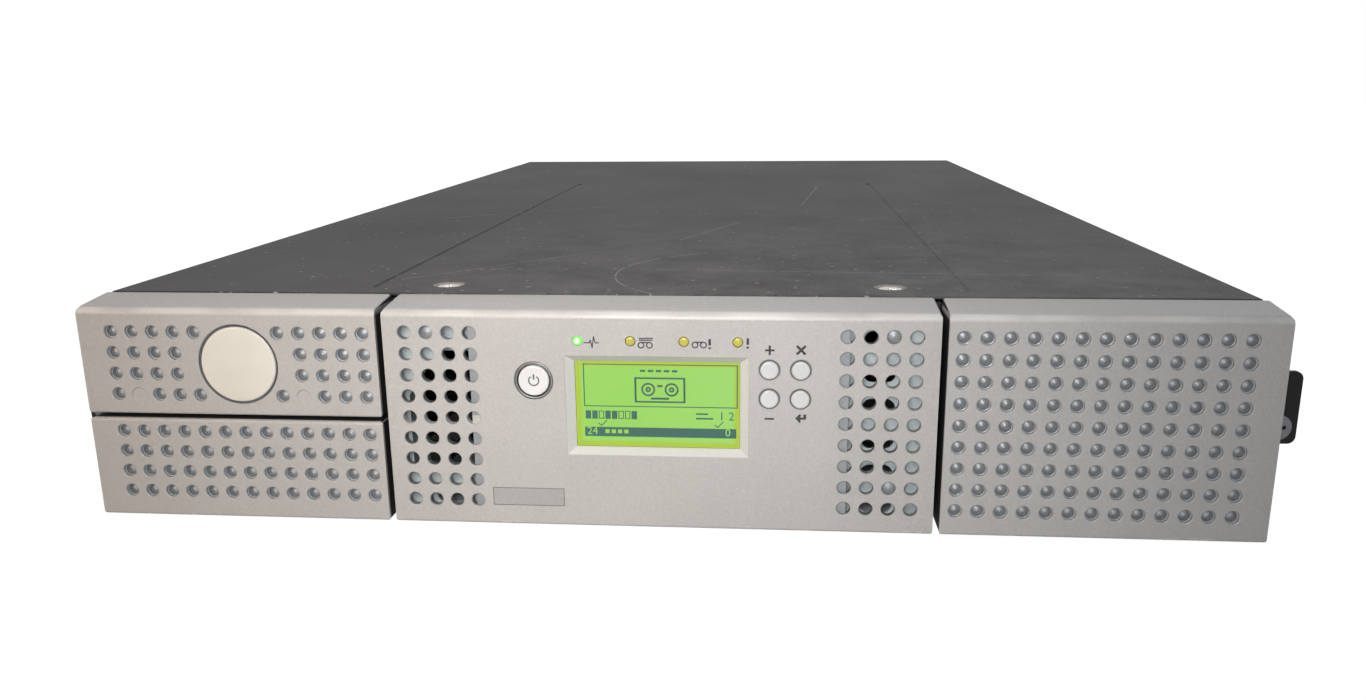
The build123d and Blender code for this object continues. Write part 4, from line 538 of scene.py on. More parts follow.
def gap_shade(x, y, z):
    """1 where shade is painted near black: in the seams, the groove of the power key and the lamps'
    holes.
    """
    out = x.math("ABSOLUTE")
    behind = (y - FRONT / MM).between(1.0, 1.8)
    seams = within(out, UPRIGHT_SEAM_X) + (x < -104.0) * within(z, LEVEL_SEAM_Z)
    round_key = (distance(x, z, POWER_KEY) < POWER_RING + 0.85) * (y > FRONT / MM + 0.5)
    lamp_row = ((z - READY_LAMP[1]).math("ABSOLUTE") < 2.2) * (out < 33.0) * (y > FRONT / MM + 0.15)
    return (behind * seams + round_key + lamp_row).clamp()


def frame_highlight(x, y, z):
    """1 on the sloping walls round the display's window, which a painted highlight lightens."""
    place = centre_of("display_window") / MM
    wide = (x - place.x).math("ABSOLUTE") < DISPLAY_MOUTH[0] / MM / 2 + 0.2
    tall = (z - place.z).math("ABSOLUTE") < DISPLAY_MOUTH[1] / MM / 2 + 0.2
    return wide * tall * (y > FRONT / MM + 0.15)


def silver_finish():
    """Silver paint on moulded plastic: flakes, soft clouds, rubbed and chipped places, painted shade in
    the perforations and gaps, and painted highlights on the front ridge and round the display.
    """
    f = Finish("silver_paint", Specular_IOR_Level=0.35)
    sparkle = f.chances(2600.0, "X")
    clouds = f.noise(14.0, 4.0, 0.6)
    fine = f.noise(700.0, 3.0, 0.6)
    tone = (clouds * 0.45 + sparkle * 0.25 + fine * 0.30)
    colour = f.ramp(tone, (0.30, (0.50, 0.485, 0.468)), (0.68, (0.60, 0.585, 0.565)))
    chips = (f.noise(420.0, 2.0) > 0.70) * (f.noise(26.0, 2.0) > 0.62)
    x, y, z = f.split()
    top = z.between(84.4, 85.6)
    rubs = (f.hairs(4.0, 12.0, 900.0, 0.70) + f.hairs(-30.0, 16.0, 800.0, 0.74)).clamp() * top
    dusty = (f.cells(240.0) < 0.12) * (f.noise(60.0, 1.0) > 0.52) * top
    colour = f.mix((chips * 0.25 + rubs * 0.4 + dusty * 0.6).clamp(), colour, (0.78, 0.77, 0.75))
    low = 1.0 - z.between(0.6, 2.2)
    scuffs = (f.noise(90.0, 4.0, 0.75) > 0.60) * low
    colour = f.mix(scuffs * 0.8, colour, (0.86, 0.83, 0.78))
    # Painted shade: the perforations' walls and floors are a darker blue-grey, with fine concentric
    # rings.
    hollow = dimple_shade(x, y, z)
    rings = f.noise(1.0, 2.0, 0.6, f.stretched(300.0, 2500.0, 300.0))
    colour = f.mix(hollow, colour, f.mix(rings, (0.24, 0.255, 0.27), (0.36, 0.375, 0.39)))
    # Painted shade: near black in the seams, the power key's groove and the lamps' holes.
    bare_wear_and_gap_shade = gap_shade(x, y, z)
    colour = f.mix(bare_wear_and_gap_shade, colour, (0.012, 0.011, 0.012))
    # Painted highlight: the sloping walls round the display's window are lightened.
    colour = f.mix(frame_highlight(x, y, z) * 0.5, colour, (0.86, 0.85, 0.83))
    # Painted highlight: the rounded front ridge is lightened in a band broken up by noise.
    ridge_highlight_band = z.between(82.4, 83.6) * (1.0 - z.between(84.6, 85.2))
    rubbed = ridge_highlight_band * f.noise(35.0, 3.0).between(0.25, 0.6)
    colour = f.mix(rubbed * 0.65, colour, (0.90, 0.88, 0.85))
    metallic = (0.06 - chips * 0.03) * (1.0 - hollow) + hollow * 0.50
    rough = clouds * 0.10 + fine * 0.08 + 0.33 + bare_wear_and_gap_shade * 0.5
    f.set(Base_Color=colour, Metallic=metallic, Roughness=rough)
    return f.relief(fine * 0.5 + sparkle * 0.4, 0.10, 0.00006)


def plastic_finish(name, colour, rough, grain, **constants):
    """Moulded plastic with a fine spark-eroded texture and a little uneven gloss."""
    f = Finish(name, **constants)
    clouds = f.noise(22.0, 3.0)
    fine = f.noise(1500.0, 2.0)
    darker = tuple(c * 0.84 for c in colour)
    colour = f.mix(clouds.between(0.3, 0.7), darker, colour)
    f.set(Base_Color=colour, Roughness=clouds * 0.12 + rough - 0.06)
    return f.relief(fine, grain, 0.00008)


def zinc_finish():
    """Zinc-plated sheet: soft crystals, rolling lines and finger marks, and painted shade, near black,
    where it lies behind the seams.
    """
    f = Finish("zinc_plate", Metallic=0.2)
    tone = f.chances(120.0, "Y")
    rolled = f.noise(1.0, 3.0, 0.6, f.stretched(12.0, 900.0, 12.0))
    clouds = f.noise(12.0, 4.0, 0.6)
    mixed = tone * 0.30 + rolled * 0.30 + clouds * 0.40
    x, y, z = f.split()
    # Painted shade: the sheet is near black just behind the front, where it shows between the bezels.
    seams = within(x.math("ABSOLUTE"), (101.0, 109.5)) * (y < CHASSIS_FRONT / MM + 6.0)
    sheet = f.ramp(mixed, (0.3, (0.70, 0.78, 0.80)), (0.7, (0.86, 0.93, 0.94)))
    colour = f.mix(seams, sheet, (0.03, 0.03, 0.03))
    f.set(Base_Color=colour, Roughness=mixed * 0.22 + 0.26)
    return f.relief(rolled, 0.08, 0.00005)


def brushed_finish(name, colour, along, rough):
    """Bright metal with brushing along one axis."""
    f = Finish(name, Metallic=1.0)
    lines = f.noise(1.0, 3.0, 0.6, f.stretched(*along))
    spots = f.noise(45.0, 3.0)
    darker = tuple(c * 0.78 for c in colour)
    colour = f.mix(lines.between(0.3, 0.7), darker, colour)
    f.set(Base_Color=colour, Roughness=lines * 0.14 + spots * 0.10 + rough)
    return f.relief(lines, 0.12, 0.00005)


def black_finish(name, colour, rough):
    """Black paint on sheet steel with a light orange peel and rubbed spots."""
    f = Finish(name, Specular_IOR_Level=0.2)
    peel = f.noise(520.0, 2.0)
    wear = (f.noise(80.0, 4.0, 0.7)).between(0.62, 0.78)
    f.set(Base_Color=f.mix(wear * 0.35, colour, (0.09, 0.09, 0.09)), Roughness=peel * 0.15 + rough)
    return f.relief(peel, 0.2, 0.0001)


def glow_finish(name, centre, colour, core, strength):
    """A lit lens: its core, round a place (x, z) in millimetres, is brighter than its rim."""
    f = Finish(name, Roughness=0.35, Emission_Strength=strength)
    x, y, z = f.split()
    lit = f.mix(distance(x, z, centre).between(0.7, 1.6), core, colour)
    f.set(Base_Color=tuple(c * 0.5 for c in colour), Emission_Color=lit)
    return f


def display_finish(low, high):
    """The lit field of the display: green, yellower and brighter along its edges."""
    f = Finish("display_light", Roughness=0.30, Emission_Strength=1.0)
    x, y, z = f.split()
    left, right = low.x / MM, high.x / MM
    bottom, top = low.z / MM, high.z / MM
    edge = (x - left).math("MINIMUM", right - x)
    edge = edge.math("MINIMUM", (z - bottom).math("MINIMUM", top - z))
    rim = 1.0 - edge.between(1.6, 2.4)
    warm = f.noise(22.0, 2.0).between(0.3, 0.7)
    field = f.mix(warm, (0.31, 0.69, 0.08), (0.35, 0.72, 0.11))
    field = f.mix(x.between(left, right) * 0.5, field, (0.38, 0.72, 0.18))
    lit = f.mix(rim, field, (0.43, 0.60, 0.02))
    columns, rows = ((axis * 2.6).math("FRACT") > 0.90 for axis in (x, z))
    lit = f.mix((columns + rows).clamp() * 0.10 * (1.0 - rim), lit, (0.20, 0.42, 0.08))
    f.set(Base_Color=(0.015, 0.03, 0.006), Emission_Color=lit)
    return f


def board_finish():
    """Solder mask over copper traces."""
    f = Finish("solder_mask", Roughness=0.35)
    traces = f.cells(1.0, "DISTANCE_TO_EDGE", "Distance", f.stretched(260.0, 260.0, 260.0)) < 0.05
    pads = f.cells(300.0) < 0.12
    colour = f.mix(traces * 0.6, (0.012, 0.075, 0.035), (0.03, 0.16, 0.07))
    colour = f.mix(pads, colour, (0.72, 0.66, 0.45))
    return f.set(Base_Color=colour)


def badge_finish():
    """Gloss cream-white moulding, a little yellowed and smeared by handling."""
    f = Finish("cream_gloss", Coat_Weight=0.6, Coat_Roughness=0.08)
    clouds = f.noise(40.0, 4.0, 0.6)
    colour = f.mix(clouds.between(0.3, 0.7), (0.84, 0.81, 0.71), (0.91, 0.88, 0.79))
    smears = f.noise(180.0, 4.0, 0.65).between(0.55, 0.8)
    f.set(Base_Color=f.mix(smears * 0.2, colour, (0.86, 0.83, 0.74)), Roughness=smears * 0.25 + 0.14)
    return f.relief(clouds, 0.03, 0.0002)


SILVER = silver_finish()
CREAM = badge_finish()
DARK_SCREW = brushed_finish("blackened_screw", (0.15, 0.15, 0.16), (500.0, 500.0, 500.0), 0.36)
RING = brushed_finish("ring_steel", (0.24, 0.24, 0.235), (700.0, 700.0, 700.0), 0.24)
ACETAL = plastic_finish("acetal", (0.82, 0.81, 0.74), 0.35, 0.05)
WHITE_KEY = plastic_finish("key_white", (0.86, 0.86, 0.86), 0.36, 0.05)
INLET = plastic_finish("inlet_black", (0.018, 0.018, 0.019), 0.42, 0.25)
PRINT = plastic_finish("dark_print", (0.035, 0.033, 0.036), 0.5, 0.02)
KEY_PRINT = plastic_finish("key_print", (0.16, 0.16, 0.16), 0.5, 0.02)
SEGMENT = plastic_finish("display_segments", (0.045, 0.165, 0.135), 0.5, 0.02)
GREEN_LAMP = glow_finish("lit_green", READY_LAMP, (0.10, 0.85, 0.04), (0.80, 1.0, 0.70), 1.15)
AMBER_LAMP = plastic_finish("amber_lamp", (0.66, 0.60, 0.07), 0.22, 0.0, Coat_Weight=0.5)
LABEL = plastic_finish("clear_label", (0.60, 0.60, 0.60), 0.24, 0.0, Alpha=0.35)
GLASS = plastic_finish("display_glass", (0.12, 0.14, 0.12), 0.08, 0.0, Alpha=0.06)

NODE_FINISH = {
    "zinc_sheet": zinc_finish(),
    "cover_paint": cover_finish(),
    "bezel_silver": SILVER,
    "badge_white": CREAM,
    "button_white": WHITE_KEY,
    "display_black": plastic_finish("display_body", (0.02, 0.02, 0.022), 0.4, 0.1),
    "display_glass": GLASS,
    "board_green": board_finish(),
    "lamp_green": GREEN_LAMP,
    "lamp_amber": AMBER_LAMP,
    "black_sheet": black_finish("black_paint", (0.006, 0.006, 0.007), 0.42),
    "dark_screw": DARK_SCREW,
    "bright_screw": brushed_finish("worn_screw", (0.60, 0.58, 0.55), (500.0, 500.0, 500.0), 0.34),
    "magazine_plastic": plastic_finish("magazine_plastic", (0.055, 0.058, 0.064), 0.48, 0.2),
    "spring_steel": brushed_finish("spring_steel", (0.62, 0.62, 0.64), (300.0, 300.0, 300.0), 0.22),
    "ground_steel": brushed_finish("ground_steel", (0.70, 0.70, 0.72), (900.0, 12.0, 900.0), 0.18),
    "carriage_metal": brushed_finish("brushed_aluminium", (0.66, 0.67, 0.69), (8.0, 900.0, 900.0), 0.28),
    "bearing_plastic": ACETAL,
    "gear_plastic": ACETAL,
    "motor_metal": black_finish("motor_can", (0.05, 0.05, 0.055), 0.38),
    "tray_plastic": plastic_finish("tray_plastic", (0.085, 0.09, 0.10), 0.46, 0.2),
    "drive_metal": brushed_finish("cast_aluminium", (0.50, 0.51, 0.53), (90.0, 90.0, 90.0), 0.38),
    "handle_plastic": plastic_finish("handle_blue", (0.030, 0.10, 0.30), 0.42, 0.2),
    "port_metal": brushed_finish("nickel_shell", (0.68, 0.67, 0.64), (400.0, 400.0, 400.0), 0.26),
    "inlet_black": INLET,
    "fan_black": INLET,
}
for node_name, slot_name in SLOT_OF.items():
    for material_slot in frame["nodes"][node_name].material_slots:
        material_slot.material = NODE_FINISH[slot_name].material


def hole_tools():
    """The mould's pins: a dimple whose floor is a low cone, a through hole and two shallow stops."""
    radius = HOLE_RADIUS / MM
    forms = {
        "dimple": [(1.3, radius * 0.98), (1.42, radius * 0.84), (2.3, radius * 0.80), (1.5, 0.05)],
        "through": [(FRONT_WALL / MM + 1, radius)],
        "stop": [(1.9, radius * 0.97), (1.2, 0.05)],
        "shallow": [(0.55, radius * 0.97)],
    }
    mouth = [(FRONT - RIM, HOLE_RADIUS + 2 * RIM), (FRONT + RIM, HOLE_RADIUS)]
    return {name: turned(name, mouth + profile(FRONT, *pairs)) for name, pairs in forms.items()}


def bezel(name, node):
    """A bezel's moulding: sloping top, round front edges, hollow from behind."""
    low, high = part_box(node)
    tall = high.z > BEZEL_RIDGE
    obj = block(name, low, (high.x, high.y, BEZEL_RIDGE if tall else high.z))
    if tall:
        pick(obj, points=lambda p: p.z > low.z + MM and p.y > low.y + MM)
        bpy.ops.transform.translate(value=(0, 0, high.z - BEZEL_RIDGE))
        done(obj)
    middle, middle_z = (low.x + high.x) / 2, (low.z + high.z) / 2
    ridge_radius = TOP_RADIUS if tall else EDGE_RADIUS
    near = lambda p: p.y < low.y + 0.1 * MM
    pick(obj, edges=lambda a, b: near(a) and near(b) and min(a.z, b.z) > low.z + MM)
    bpy.ops.mesh.bevel(offset=ridge_radius, segments=5, affect="EDGES")
    done(obj)
    behind = lambda p: p.y > high.y - 0.1 * MM
    under = lambda p: p.z < low.z + 0.1 * MM
    rim = lambda p: abs(abs(p.x - middle) - (high.x - low.x) / 2) < 0.01 * MM
    inwards = lambda a, b: abs(a.y - b.y) > abs(a.z - b.z) and abs(a.x - b.x) < 0.01 * MM
    pick(obj, edges=lambda a, b: rim(a) and rim(b) and inwards(a, b) and not under(a))
    bpy.ops.mesh.bevel(offset=EDGE_RADIUS, segments=4, affect="EDGES")
    done(obj)
    pick(obj, edges=lambda a, b: under(a) and under(b) and not (behind(a) and behind(b)))
    bpy.ops.mesh.bevel(offset=FOOT_RADIUS, segments=3, affect="EDGES")
    done(obj)
    rise = (high.z - BEZEL_RIDGE) / (high.y - low.y) if tall else 0
    inner_low = (low.x + BEZEL_WALL, FRONT + FRONT_WALL, low.z + BEZEL_WALL)
    inner_high = (high.x - BEZEL_WALL, high.y + MM, high.z - BEZEL_WALL + rise * MM)
    cavity = block("cavity", inner_low, inner_high)
    pick(cavity, points=lambda p: p.y < high.y and p.z > middle_z)
    bpy.ops.transform.translate(value=(0, 0, -rise * (high.y + MM - FRONT - FRONT_WALL)))
    return cut(obj, [done(cavity)])


def side_holes(node, top, rows):
    """Places of a side bezel's dimples, column by column from the centre bezel outwards."""
    low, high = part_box(node)
    step = HOLE_PITCH if low.x > 0 else -HOLE_PITCH
    inner = low.x + SIDE_MARGIN if low.x > 0 else high.x - SIDE_MARGIN
    return grid(inner, step, SIDE_COLUMNS, top, rows)


def make_plain_bezel(name, node, top, rows, tools):
    """A side front with a full field of dimples."""
    obj = bezel(name, node)
    holes = side_holes(node, top, rows)
    cut(obj, [copy_at(tools["dimple"], x, z) for column, row, x, z in holes])
    mount(smooth(obj), NODE_BODY[node], SILVER, node)


def make_left_bezel(tools):
    """Upper left front: dimples around the badge's recess, two of them nearly filled."""
    obj = bezel("left_upper_bezel", "left_magazine_bezel")
    low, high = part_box("badge_disc")
    centre = (low + high) / 2
    clear = (high.x - low.x) / 2 + 3.9 * MM
    cutters = []
    for column, row, x, z in side_holes("left_magazine_bezel", UPPER_TOP_ROW, 4):
        if math.hypot(x - centre.x, z - centre.z) > clear:
            tool = tools["shallow" if (column, row) in FILLED_DIMPLES else "dimple"]
            cutters.append(copy_at(tool, x, z))
    recess = (high.x - low.x) / 2 + 0.9 * MM
    ring = [(FRONT - RIM, recess + 2 * RIM), (FRONT + RIM, recess), (high.y, recess)]
    cutters.append(over(turned("badge_well", ring, 96), "badge_disc"))
    cut(obj, cutters)
    mount(smooth(obj), "left_magazine", SILVER, "left_magazine_bezel")


def make_badge():
    """The blank badge: a thick disc with a soft rim and a slight crown, and its dark seat."""
    low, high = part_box("badge_disc")
    radius = (high.x - low.x) / 2 / MM
    crown = low.y + 0.02 * MM
    rings = profile(
        crown, ((high.y - crown) / MM, radius), (1.0, radius), (0.75, radius - 0.10),
        (0.52, radius - 0.40), (0.40, radius - 1.0), (0.24, radius * 0.75), (0.10, radius * 0.5),
        (0, radius * 0.2),
    )
    cap = over(turned("badge_cap", rings, 96), "badge_disc")
    mount(smooth(cap, 50), "left_magazine", CREAM, "badge_disc")
    inner = radius + 0.15
    ring = profile(FRONT, (1.3, inner), (0.45, inner), (0.45, radius + 0.55), (1.3, radius + 0.70))
    seat = over(hoop("badge_seat", ring, 96), "badge_disc")
    mount(smooth(seat), "left_magazine", DARK_SCREW)


def funnel(name, centre, mouth, floor, depth):
    """A four-sided cutter that narrows from the mouth size to the floor size at the given depth."""
    x, z = centre
    low = (x - mouth[0] / 2, FRONT - MM, z - mouth[1] / 2)
    high = (x + mouth[0] / 2, FRONT, z + mouth[1] / 2)
    obj = block(name, low, high)
    pick(obj, faces=lambda face: face.normal.y > 0.9)
    bpy.ops.mesh.extrude_region_move(TRANSFORM_OT_translate={"value": (0, depth, 0)})
    scale = (floor[0] / mouth[0], 1, floor[1] / mouth[1])
    bpy.ops.transform.resize(value=scale, center_override=(x, FRONT + depth, z))
    bpy.ops.mesh.extrude_region_move(TRANSFORM_OT_translate={"value": (0, FRONT_WALL + MM - depth, 0)})
    return done(obj)


def make_centre_bezel(tools):
    """The control panel's front: vents, display frame, lamp holes and key holes."""
    obj = bezel("control_panel", "centre_bezel")
    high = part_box("centre_bezel")[1]
    cutters = []
    for side in (-1, 1):
        start_x = side * (high.x - VENT_MARGIN)
        for column, row, x, z in grid(start_x, -side * HOLE_PITCH, VENT_COLUMNS, FULL_TOP_ROW, 9):
            tool = tools["stop" if (column, row) in BLIND_VENTS[side] else "through"]
            cutters.append(copy_at(tool, x, z))
    display = centre_of("display_window")
    place = (display.x, display.z)
    cutters.append(funnel("display_cut", place, DISPLAY_MOUTH, DISPLAY_FLOOR, DISPLAY_DEPTH))
    rim, deep = RIM / MM, FRONT_WALL / MM + 1
    lamp = turned("lamp_cut", profile(FRONT, (-rim, 2.3), (rim * 0.7, 1.87), (deep, 1.87)))
    cutters += [copy_at(lamp, x * MM, READY_LAMP[1] * MM) for x in LAMP_X]
    key = turned("key_cut", profile(FRONT, (-rim, 4.5), (rim, 3.9), (deep, 3.9)), 48)
    cutters += [over(copy_at(key, 0, 0), node) for node in KEYS]
    bore = POWER_CAP + 0.3
    rings = profile(
        FRONT, (-rim, POWER_RING + 2 * rim), (rim, POWER_RING), (1.2, POWER_RING), (1.2, bore),
        (deep, bore),
    )
    cutters.append(over(turned("power_cut", rings, 64), "power_button"))
    cut(obj, cutters)
    for tool in (lamp, key):
        bpy.data.objects.remove(tool)
    backing = []
    for side in (-1, 1):
        inner = side * (high.x - VENT_MARGIN - HOLE_PITCH * (VENT_COLUMNS - 1))
        x = sorted((inner + side * 0.9 * MM, inner - side * 6.0 * MM))
        bottom, top = FULL_TOP_ROW - 8 * HOLE_PITCH - 5 * MM, FULL_TOP_ROW + 5 * MM
        low_corner = (x[0], FRONT + 1.6 * MM, bottom)
        backing.append(block("backing", low_corner, (x[1], FRONT + FRONT_WALL, top)))
    obj = join("control_panel", [obj] + backing)
    mount(smooth(obj), "chassis", SILVER, "centre_bezel")


def make_keys():
    """The white keys: soft-edged caps with a dished face, and the power key with its ring."""
    cap_pairs = [
        (4.4, 2.4), (4.4, KEY_CAP + 1), (4.2, KEY_CAP + 1), (4.2, KEY_CAP), (0.55, KEY_CAP),
        (0.22, KEY_CAP - 0.12), (0.05, KEY_CAP - 0.42), (0, KEY_CAP - 0.8), (0.10, KEY_CAP * 0.55),
        (0.14, KEY_CAP * 0.2),
    ]
    inner, outer = KEY_CAP + 0.12, KEY_CAP + 0.49
    collar_rings = profile(FRONT, (0.9, inner), (0.10, inner), (0.10, outer), (0.9, outer))
    for node in KEYS:
        low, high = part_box(node)
        rings = [(high.y, 2.4 * MM)] + profile(low.y, *cap_pairs)
        cap = over(turned(node + "_cap", rings, 48), node)
        mount(smooth(cap, 40), NODE_BODY[node], WHITE_KEY, node)
        collar = over(hoop(node + "_collar", collar_rings, 48), node)
        mount(smooth(collar), "chassis", DARK_SCREW)
    low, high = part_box("power_button")
    rings = [(high.y, 2.4 * MM)] + profile(
        low.y, (4.3, 2.4), (4.3, POWER_CAP + 1), (3.6, POWER_CAP + 1), (3.6, POWER_CAP),
        (0.6, POWER_CAP), (0.2, POWER_CAP - 0.2), (0, POWER_CAP - 0.7), (0.08, POWER_CAP - 1.2),
        (0.30, POWER_CAP * 0.4), (0.34, POWER_CAP * 0.1),
    )
    cap = over(turned("power_cap", rings, 64), "power_button")
    mount(smooth(cap, 40), "power_key", WHITE_KEY, "power_button")
    inner, outer = POWER_CAP + 0.42, POWER_RING - 0.06
    rings = profile(
        FRONT, (1.1, inner), (0.65, inner), (0.42, inner + 0.18), (0.30, (inner + outer) / 2),
        (0.42, outer - 0.15), (0.65, outer), (1.1, outer),
    )
    ring = over(hoop("power_ring", rings, 64), "power_button")
    mount(smooth(ring, 50), "chassis", RING)


def stroke(points, width, y):
    """A printed line through points (x, z) in millimetres, flattened against the front."""
    curve = bpy.data.curves.new("stroke", "CURVE")
    curve.dimensions = "3D"
    spline = curve.splines.new("POLY")
    spline.points.add(len(points) - 1)
    for point, (x, z) in zip(spline.points, points):
        point.co = (x * MM, 0, z * MM, 1)
    curve.bevel_depth = width * MM / 2
    curve.bevel_resolution = 1
    curve.use_fill_caps = True
    obj = bpy.data.objects.new("stroke", curve)
    bpy.context.collection.objects.link(obj)
    ops_mode(obj, "OBJECT")
    bpy.ops.object.convert(target="MESH")
    flat = Matrix.Translation((0, y, 0)) @ Matrix.Diagonal((1, 2 * INK / (width * MM), 1, 1))
    obj.data.transform(flat)
    return obj


def line(points, width, y):
    """Straight strokes through points (x, z), each a little longer than its two points ask for."""
    strokes = []
    for (ax, az), (bx, bz) in zip(points, points[1:]):
        length = math.hypot(bx - ax, bz - az)
        dx, dz = (bx - ax) * width * 0.4 / length, (bz - az) * width * 0.4 / length
        strokes.append(stroke([(ax - dx, az - dz), (bx + dx, bz + dz)], width, y))
    return strokes


def dash(x, z, reach_x, reach_z, width, y):
    """A stroke through a place that reaches as far to both sides."""
    return stroke([(x - reach_x, z - reach_z), (x + reach_x, z + reach_z)], width, y)


def outline(x, z, width, y):
    """The four strokes of a rectangle between x[0], x[1] and z[0], z[1]."""
    return line([(x[0], z[0]), (x[1], z[0]), (x[1], z[1]), (x[0], z[1]), (x[0], z[0])], width, y)


def circle_points(x, z, radius, first=0, last=360, count=18):
    """Points round a circle, in millimetres, between two angles in degrees."""
    angles = [math.radians(first + (last - first) * i / count) for i in range(count + 1)]
    return [(x + radius * math.cos(a), z + radius * math.sin(a)) for a in angles]


def patch(x, z, y):
    """A thin printed rectangle, in millimetres, with its corners just broken."""
    obj = block("patch", (x[0] * MM, y - INK, z[0] * MM), (x[1] * MM, y + INK, z[1] * MM))
    return soften(obj, 0.01 * MM, 1)


def digits(text, x, z, size, y):
    """Plain digits on the front, their height in millimetres."""
    bpy.ops.object.select_all(action="DESELECT")
    bpy.ops.object.text_add(location=(x * MM, y, z * MM), rotation=(math.pi / 2, 0, 0))
    obj = bpy.context.object
    obj.data.body = text
    obj.data.size = size * MM * 1.4
    obj.data.extrude = INK
    obj.data.resolution_u = 3
    bpy.ops.object.convert(target="MESH")
    return settle(bpy.context.object)


def reels(x, z, y):
    """The tape pictogram: two reels joined by the tape."""
    radius, gap, ink = 1.05, 3.1, 0.52
    return [
        stroke(circle_points(x, z, radius), ink, y),
        stroke(circle_points(x + gap, z, radius), ink, y),
        stroke([(x, z + radius), (x + gap, z + radius)], ink, y),
    ]


def shout(x, z, y):
    """An exclamation mark: a tapering bar and its dot."""
    return [stroke([(x, z + 1.9), (x, z - 0.5)], 0.9, y), stroke([(x, z - 1.2), (x, z - 1.9)], 0.9, y)]


def make_legends():
    """Dark marks printed on the panel: lamp pictograms and key signs."""
    y = FRONT
    pulse = [
        (-26.6, 73.3), (-24.6, 73.3), (-24.2, 74.3), (-23.6, 71.4), (-23.0, 75.6), (-22.4, 73.3),
        (-21.2, 73.3),
    ]
    marks = line(pulse, 0.46, y)
    marks += reels(-5.4, 72.6, y)
    marks.append(stroke([(-6.2, 75.2), (-0.9, 75.2)], 0.5, y))
    marks.append(stroke([(-6.2, 74.5), (-1.2, 74.5)], 0.55, y))
    marks += reels(14.5, 72.9, y)
    marks += shout(19.9, 73.3, y)
    marks += shout(33.8, 73.7, y)
    plus, cross, minus, enter = (41.8, 71.2), (53.2, 71.4), (41.9, 45.1), (53.4, 45.4)
    arm = 1.75
    marks += [dash(*plus, arm, 0, 0.82, y), dash(*plus, 0, arm, 0.82, y)]
    marks += [dash(*cross, 1.6, 1.6 * sign, 1.05, y) for sign in (-1, 1)]
    marks.append(dash(*minus, arm, 0, 0.82, y))
    x, z = enter
    marks += line([(x + 1.5, z + 1.2), (x + 1.5, z), (x - 0.8, z)], 0.95, y)
    marks += line([(x - 0.3, z + 1.25), (x - 1.5, z), (x - 0.3, z - 1.25)], 0.85, y)
    marks.append(stroke([(x - 0.5, z + 0.8), (x - 0.5, z - 0.8)], 0.9, y))
    obj = join("panel_legends", marks)
    mount(obj, "chassis", PRINT)
    place = centre_of("power_button")
    x, z = place.x / MM, place.z / MM
    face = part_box("power_button")[0].y + 0.29 * MM
    sign = [
        stroke(circle_points(x, z, 1.9, 125, 415, 22), 0.62, face),
        stroke([(x, z + 0.4), (x, z + 2.5)], 0.62, face),
    ]
    mount(join("power_sign", sign), "power_key", KEY_PRINT)


def make_display():
    """The lit display: its field, the drawn content and the clear window in front."""
    low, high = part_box("display_window")
    glass = block("display_pane", (low.x, low.y, low.z), (high.x, low.y + 0.2 * MM, high.z))
    mount(soften(glass, 0.06 * MM), "chassis", GLASS, "display_window")
    back = high.y - 0.02 * MM
    field = block("display_field", (low.x, back - 0.12 * MM, low.z), (high.x, back, high.z))
    field_finish = display_finish(low, high)
    mount(soften(field, 0.03 * MM, 1), "chassis", field_finish)
    y = back - 0.14 * MM
    ink = outline((-27.7, 29.9), (48.1, 64.4), 0.42, y)
    ink += cartridge_drawing(1.0, 54.6, y)
    ink += [patch((x, x + 2.0), (61.6, 62.4), y) for x in (-6.4, -3.4, -0.4, 2.6, 5.6)]
    empty_slots = (2, 5, 6)
    for i in range(8):
        x = -27.2 + 2.5 * i
        if i in empty_slots:
            ink += outline((x, x + 1.7), (43.2, 46.1), 0.34, y)
        else:
            ink.append(patch((x - 0.17, x + 1.87), (43.03, 46.27), y))
    ink.append(digits("1", 23.0, 43.2, 3.3, y))
    ink.append(digits("2", 26.6, 43.2, 3.3, y))
    ink.append(patch((14.5, 21.0), (43.4, 44.0), y))
    ink.append(patch((14.5, 19.0), (45.2, 45.8), y))
    ink += line([(-22.4, 41.2), (-21.4, 40.4), (-19.4, 42.4)], 0.42, y)
    ink += line([(21.6, 41.2), (22.6, 40.4), (24.6, 42.4)], 0.42, y)
    ink.append(patch((-27.8, 29.6), (36.1, 39.8), y))
    mount(join("display_drawing", ink), "chassis", SEGMENT)
    y -= 0.06 * MM
    light = [digits("24", -27.0, 36.9, 3.0, y)]
    light += [patch((x, x + 1.6), (37.4, 38.9), y) for x in (-20.0, -17.6, -15.2, -12.8)]
    light += [digits("0", 25.4, 36.9, 3.0, y)]
    mount(join("display_highlights", light), "chassis", field_finish)


def cartridge_drawing(x, z, y):
    """A generic cartridge pictogram for the middle of the display."""
    half, rise = 9.2, 4.6
    drawn = outline((x - half, x + half), (z - rise, z + rise), 0.75, y)
    for side in (-1, 1):
        centre = x + side * 4.4
        drawn.append(stroke(circle_points(centre, z + 0.2, 2.3), 0.8, y))
        drawn.append(stroke(circle_points(centre, z + 0.2, 0.7), 0.8, y))
    drawn.append(patch((x - 3.4, x + 3.4), (z - 3.7, z - 2.9), y))
    drawn.append(patch((x - 1.0, x + 1.0), (z + 1.2, z + 2.0), y))
    return drawn


def make_lamps():
    """Domed light guides in the panel: the first is lit."""
    low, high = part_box("ready_lamp")
    radius = (high.x - low.x) / 2
    rings = [
        (high.y, radius), (low.y + 0.65 * MM, radius), (low.y + 0.35 * MM, radius * 0.93),
        (low.y + 0.12 * MM, radius * 0.72), (low.y + 0.02 * MM, radius * 0.4), (low.y, radius * 0.08),
    ]
    pattern = turned("lamp", rings, 32)
    ready, *others = [copy_at(pattern, x * MM, READY_LAMP[1] * MM) for x in LAMP_X]
    ready.name = "ready_light"
    mount(smooth(ready, 60), "chassis", GREEN_LAMP, "ready_lamp")
    mount(smooth(join("status_lights", others), 60), "chassis", AMBER_LAMP, "status_lamps")
    bpy.data.objects.remove(pattern)


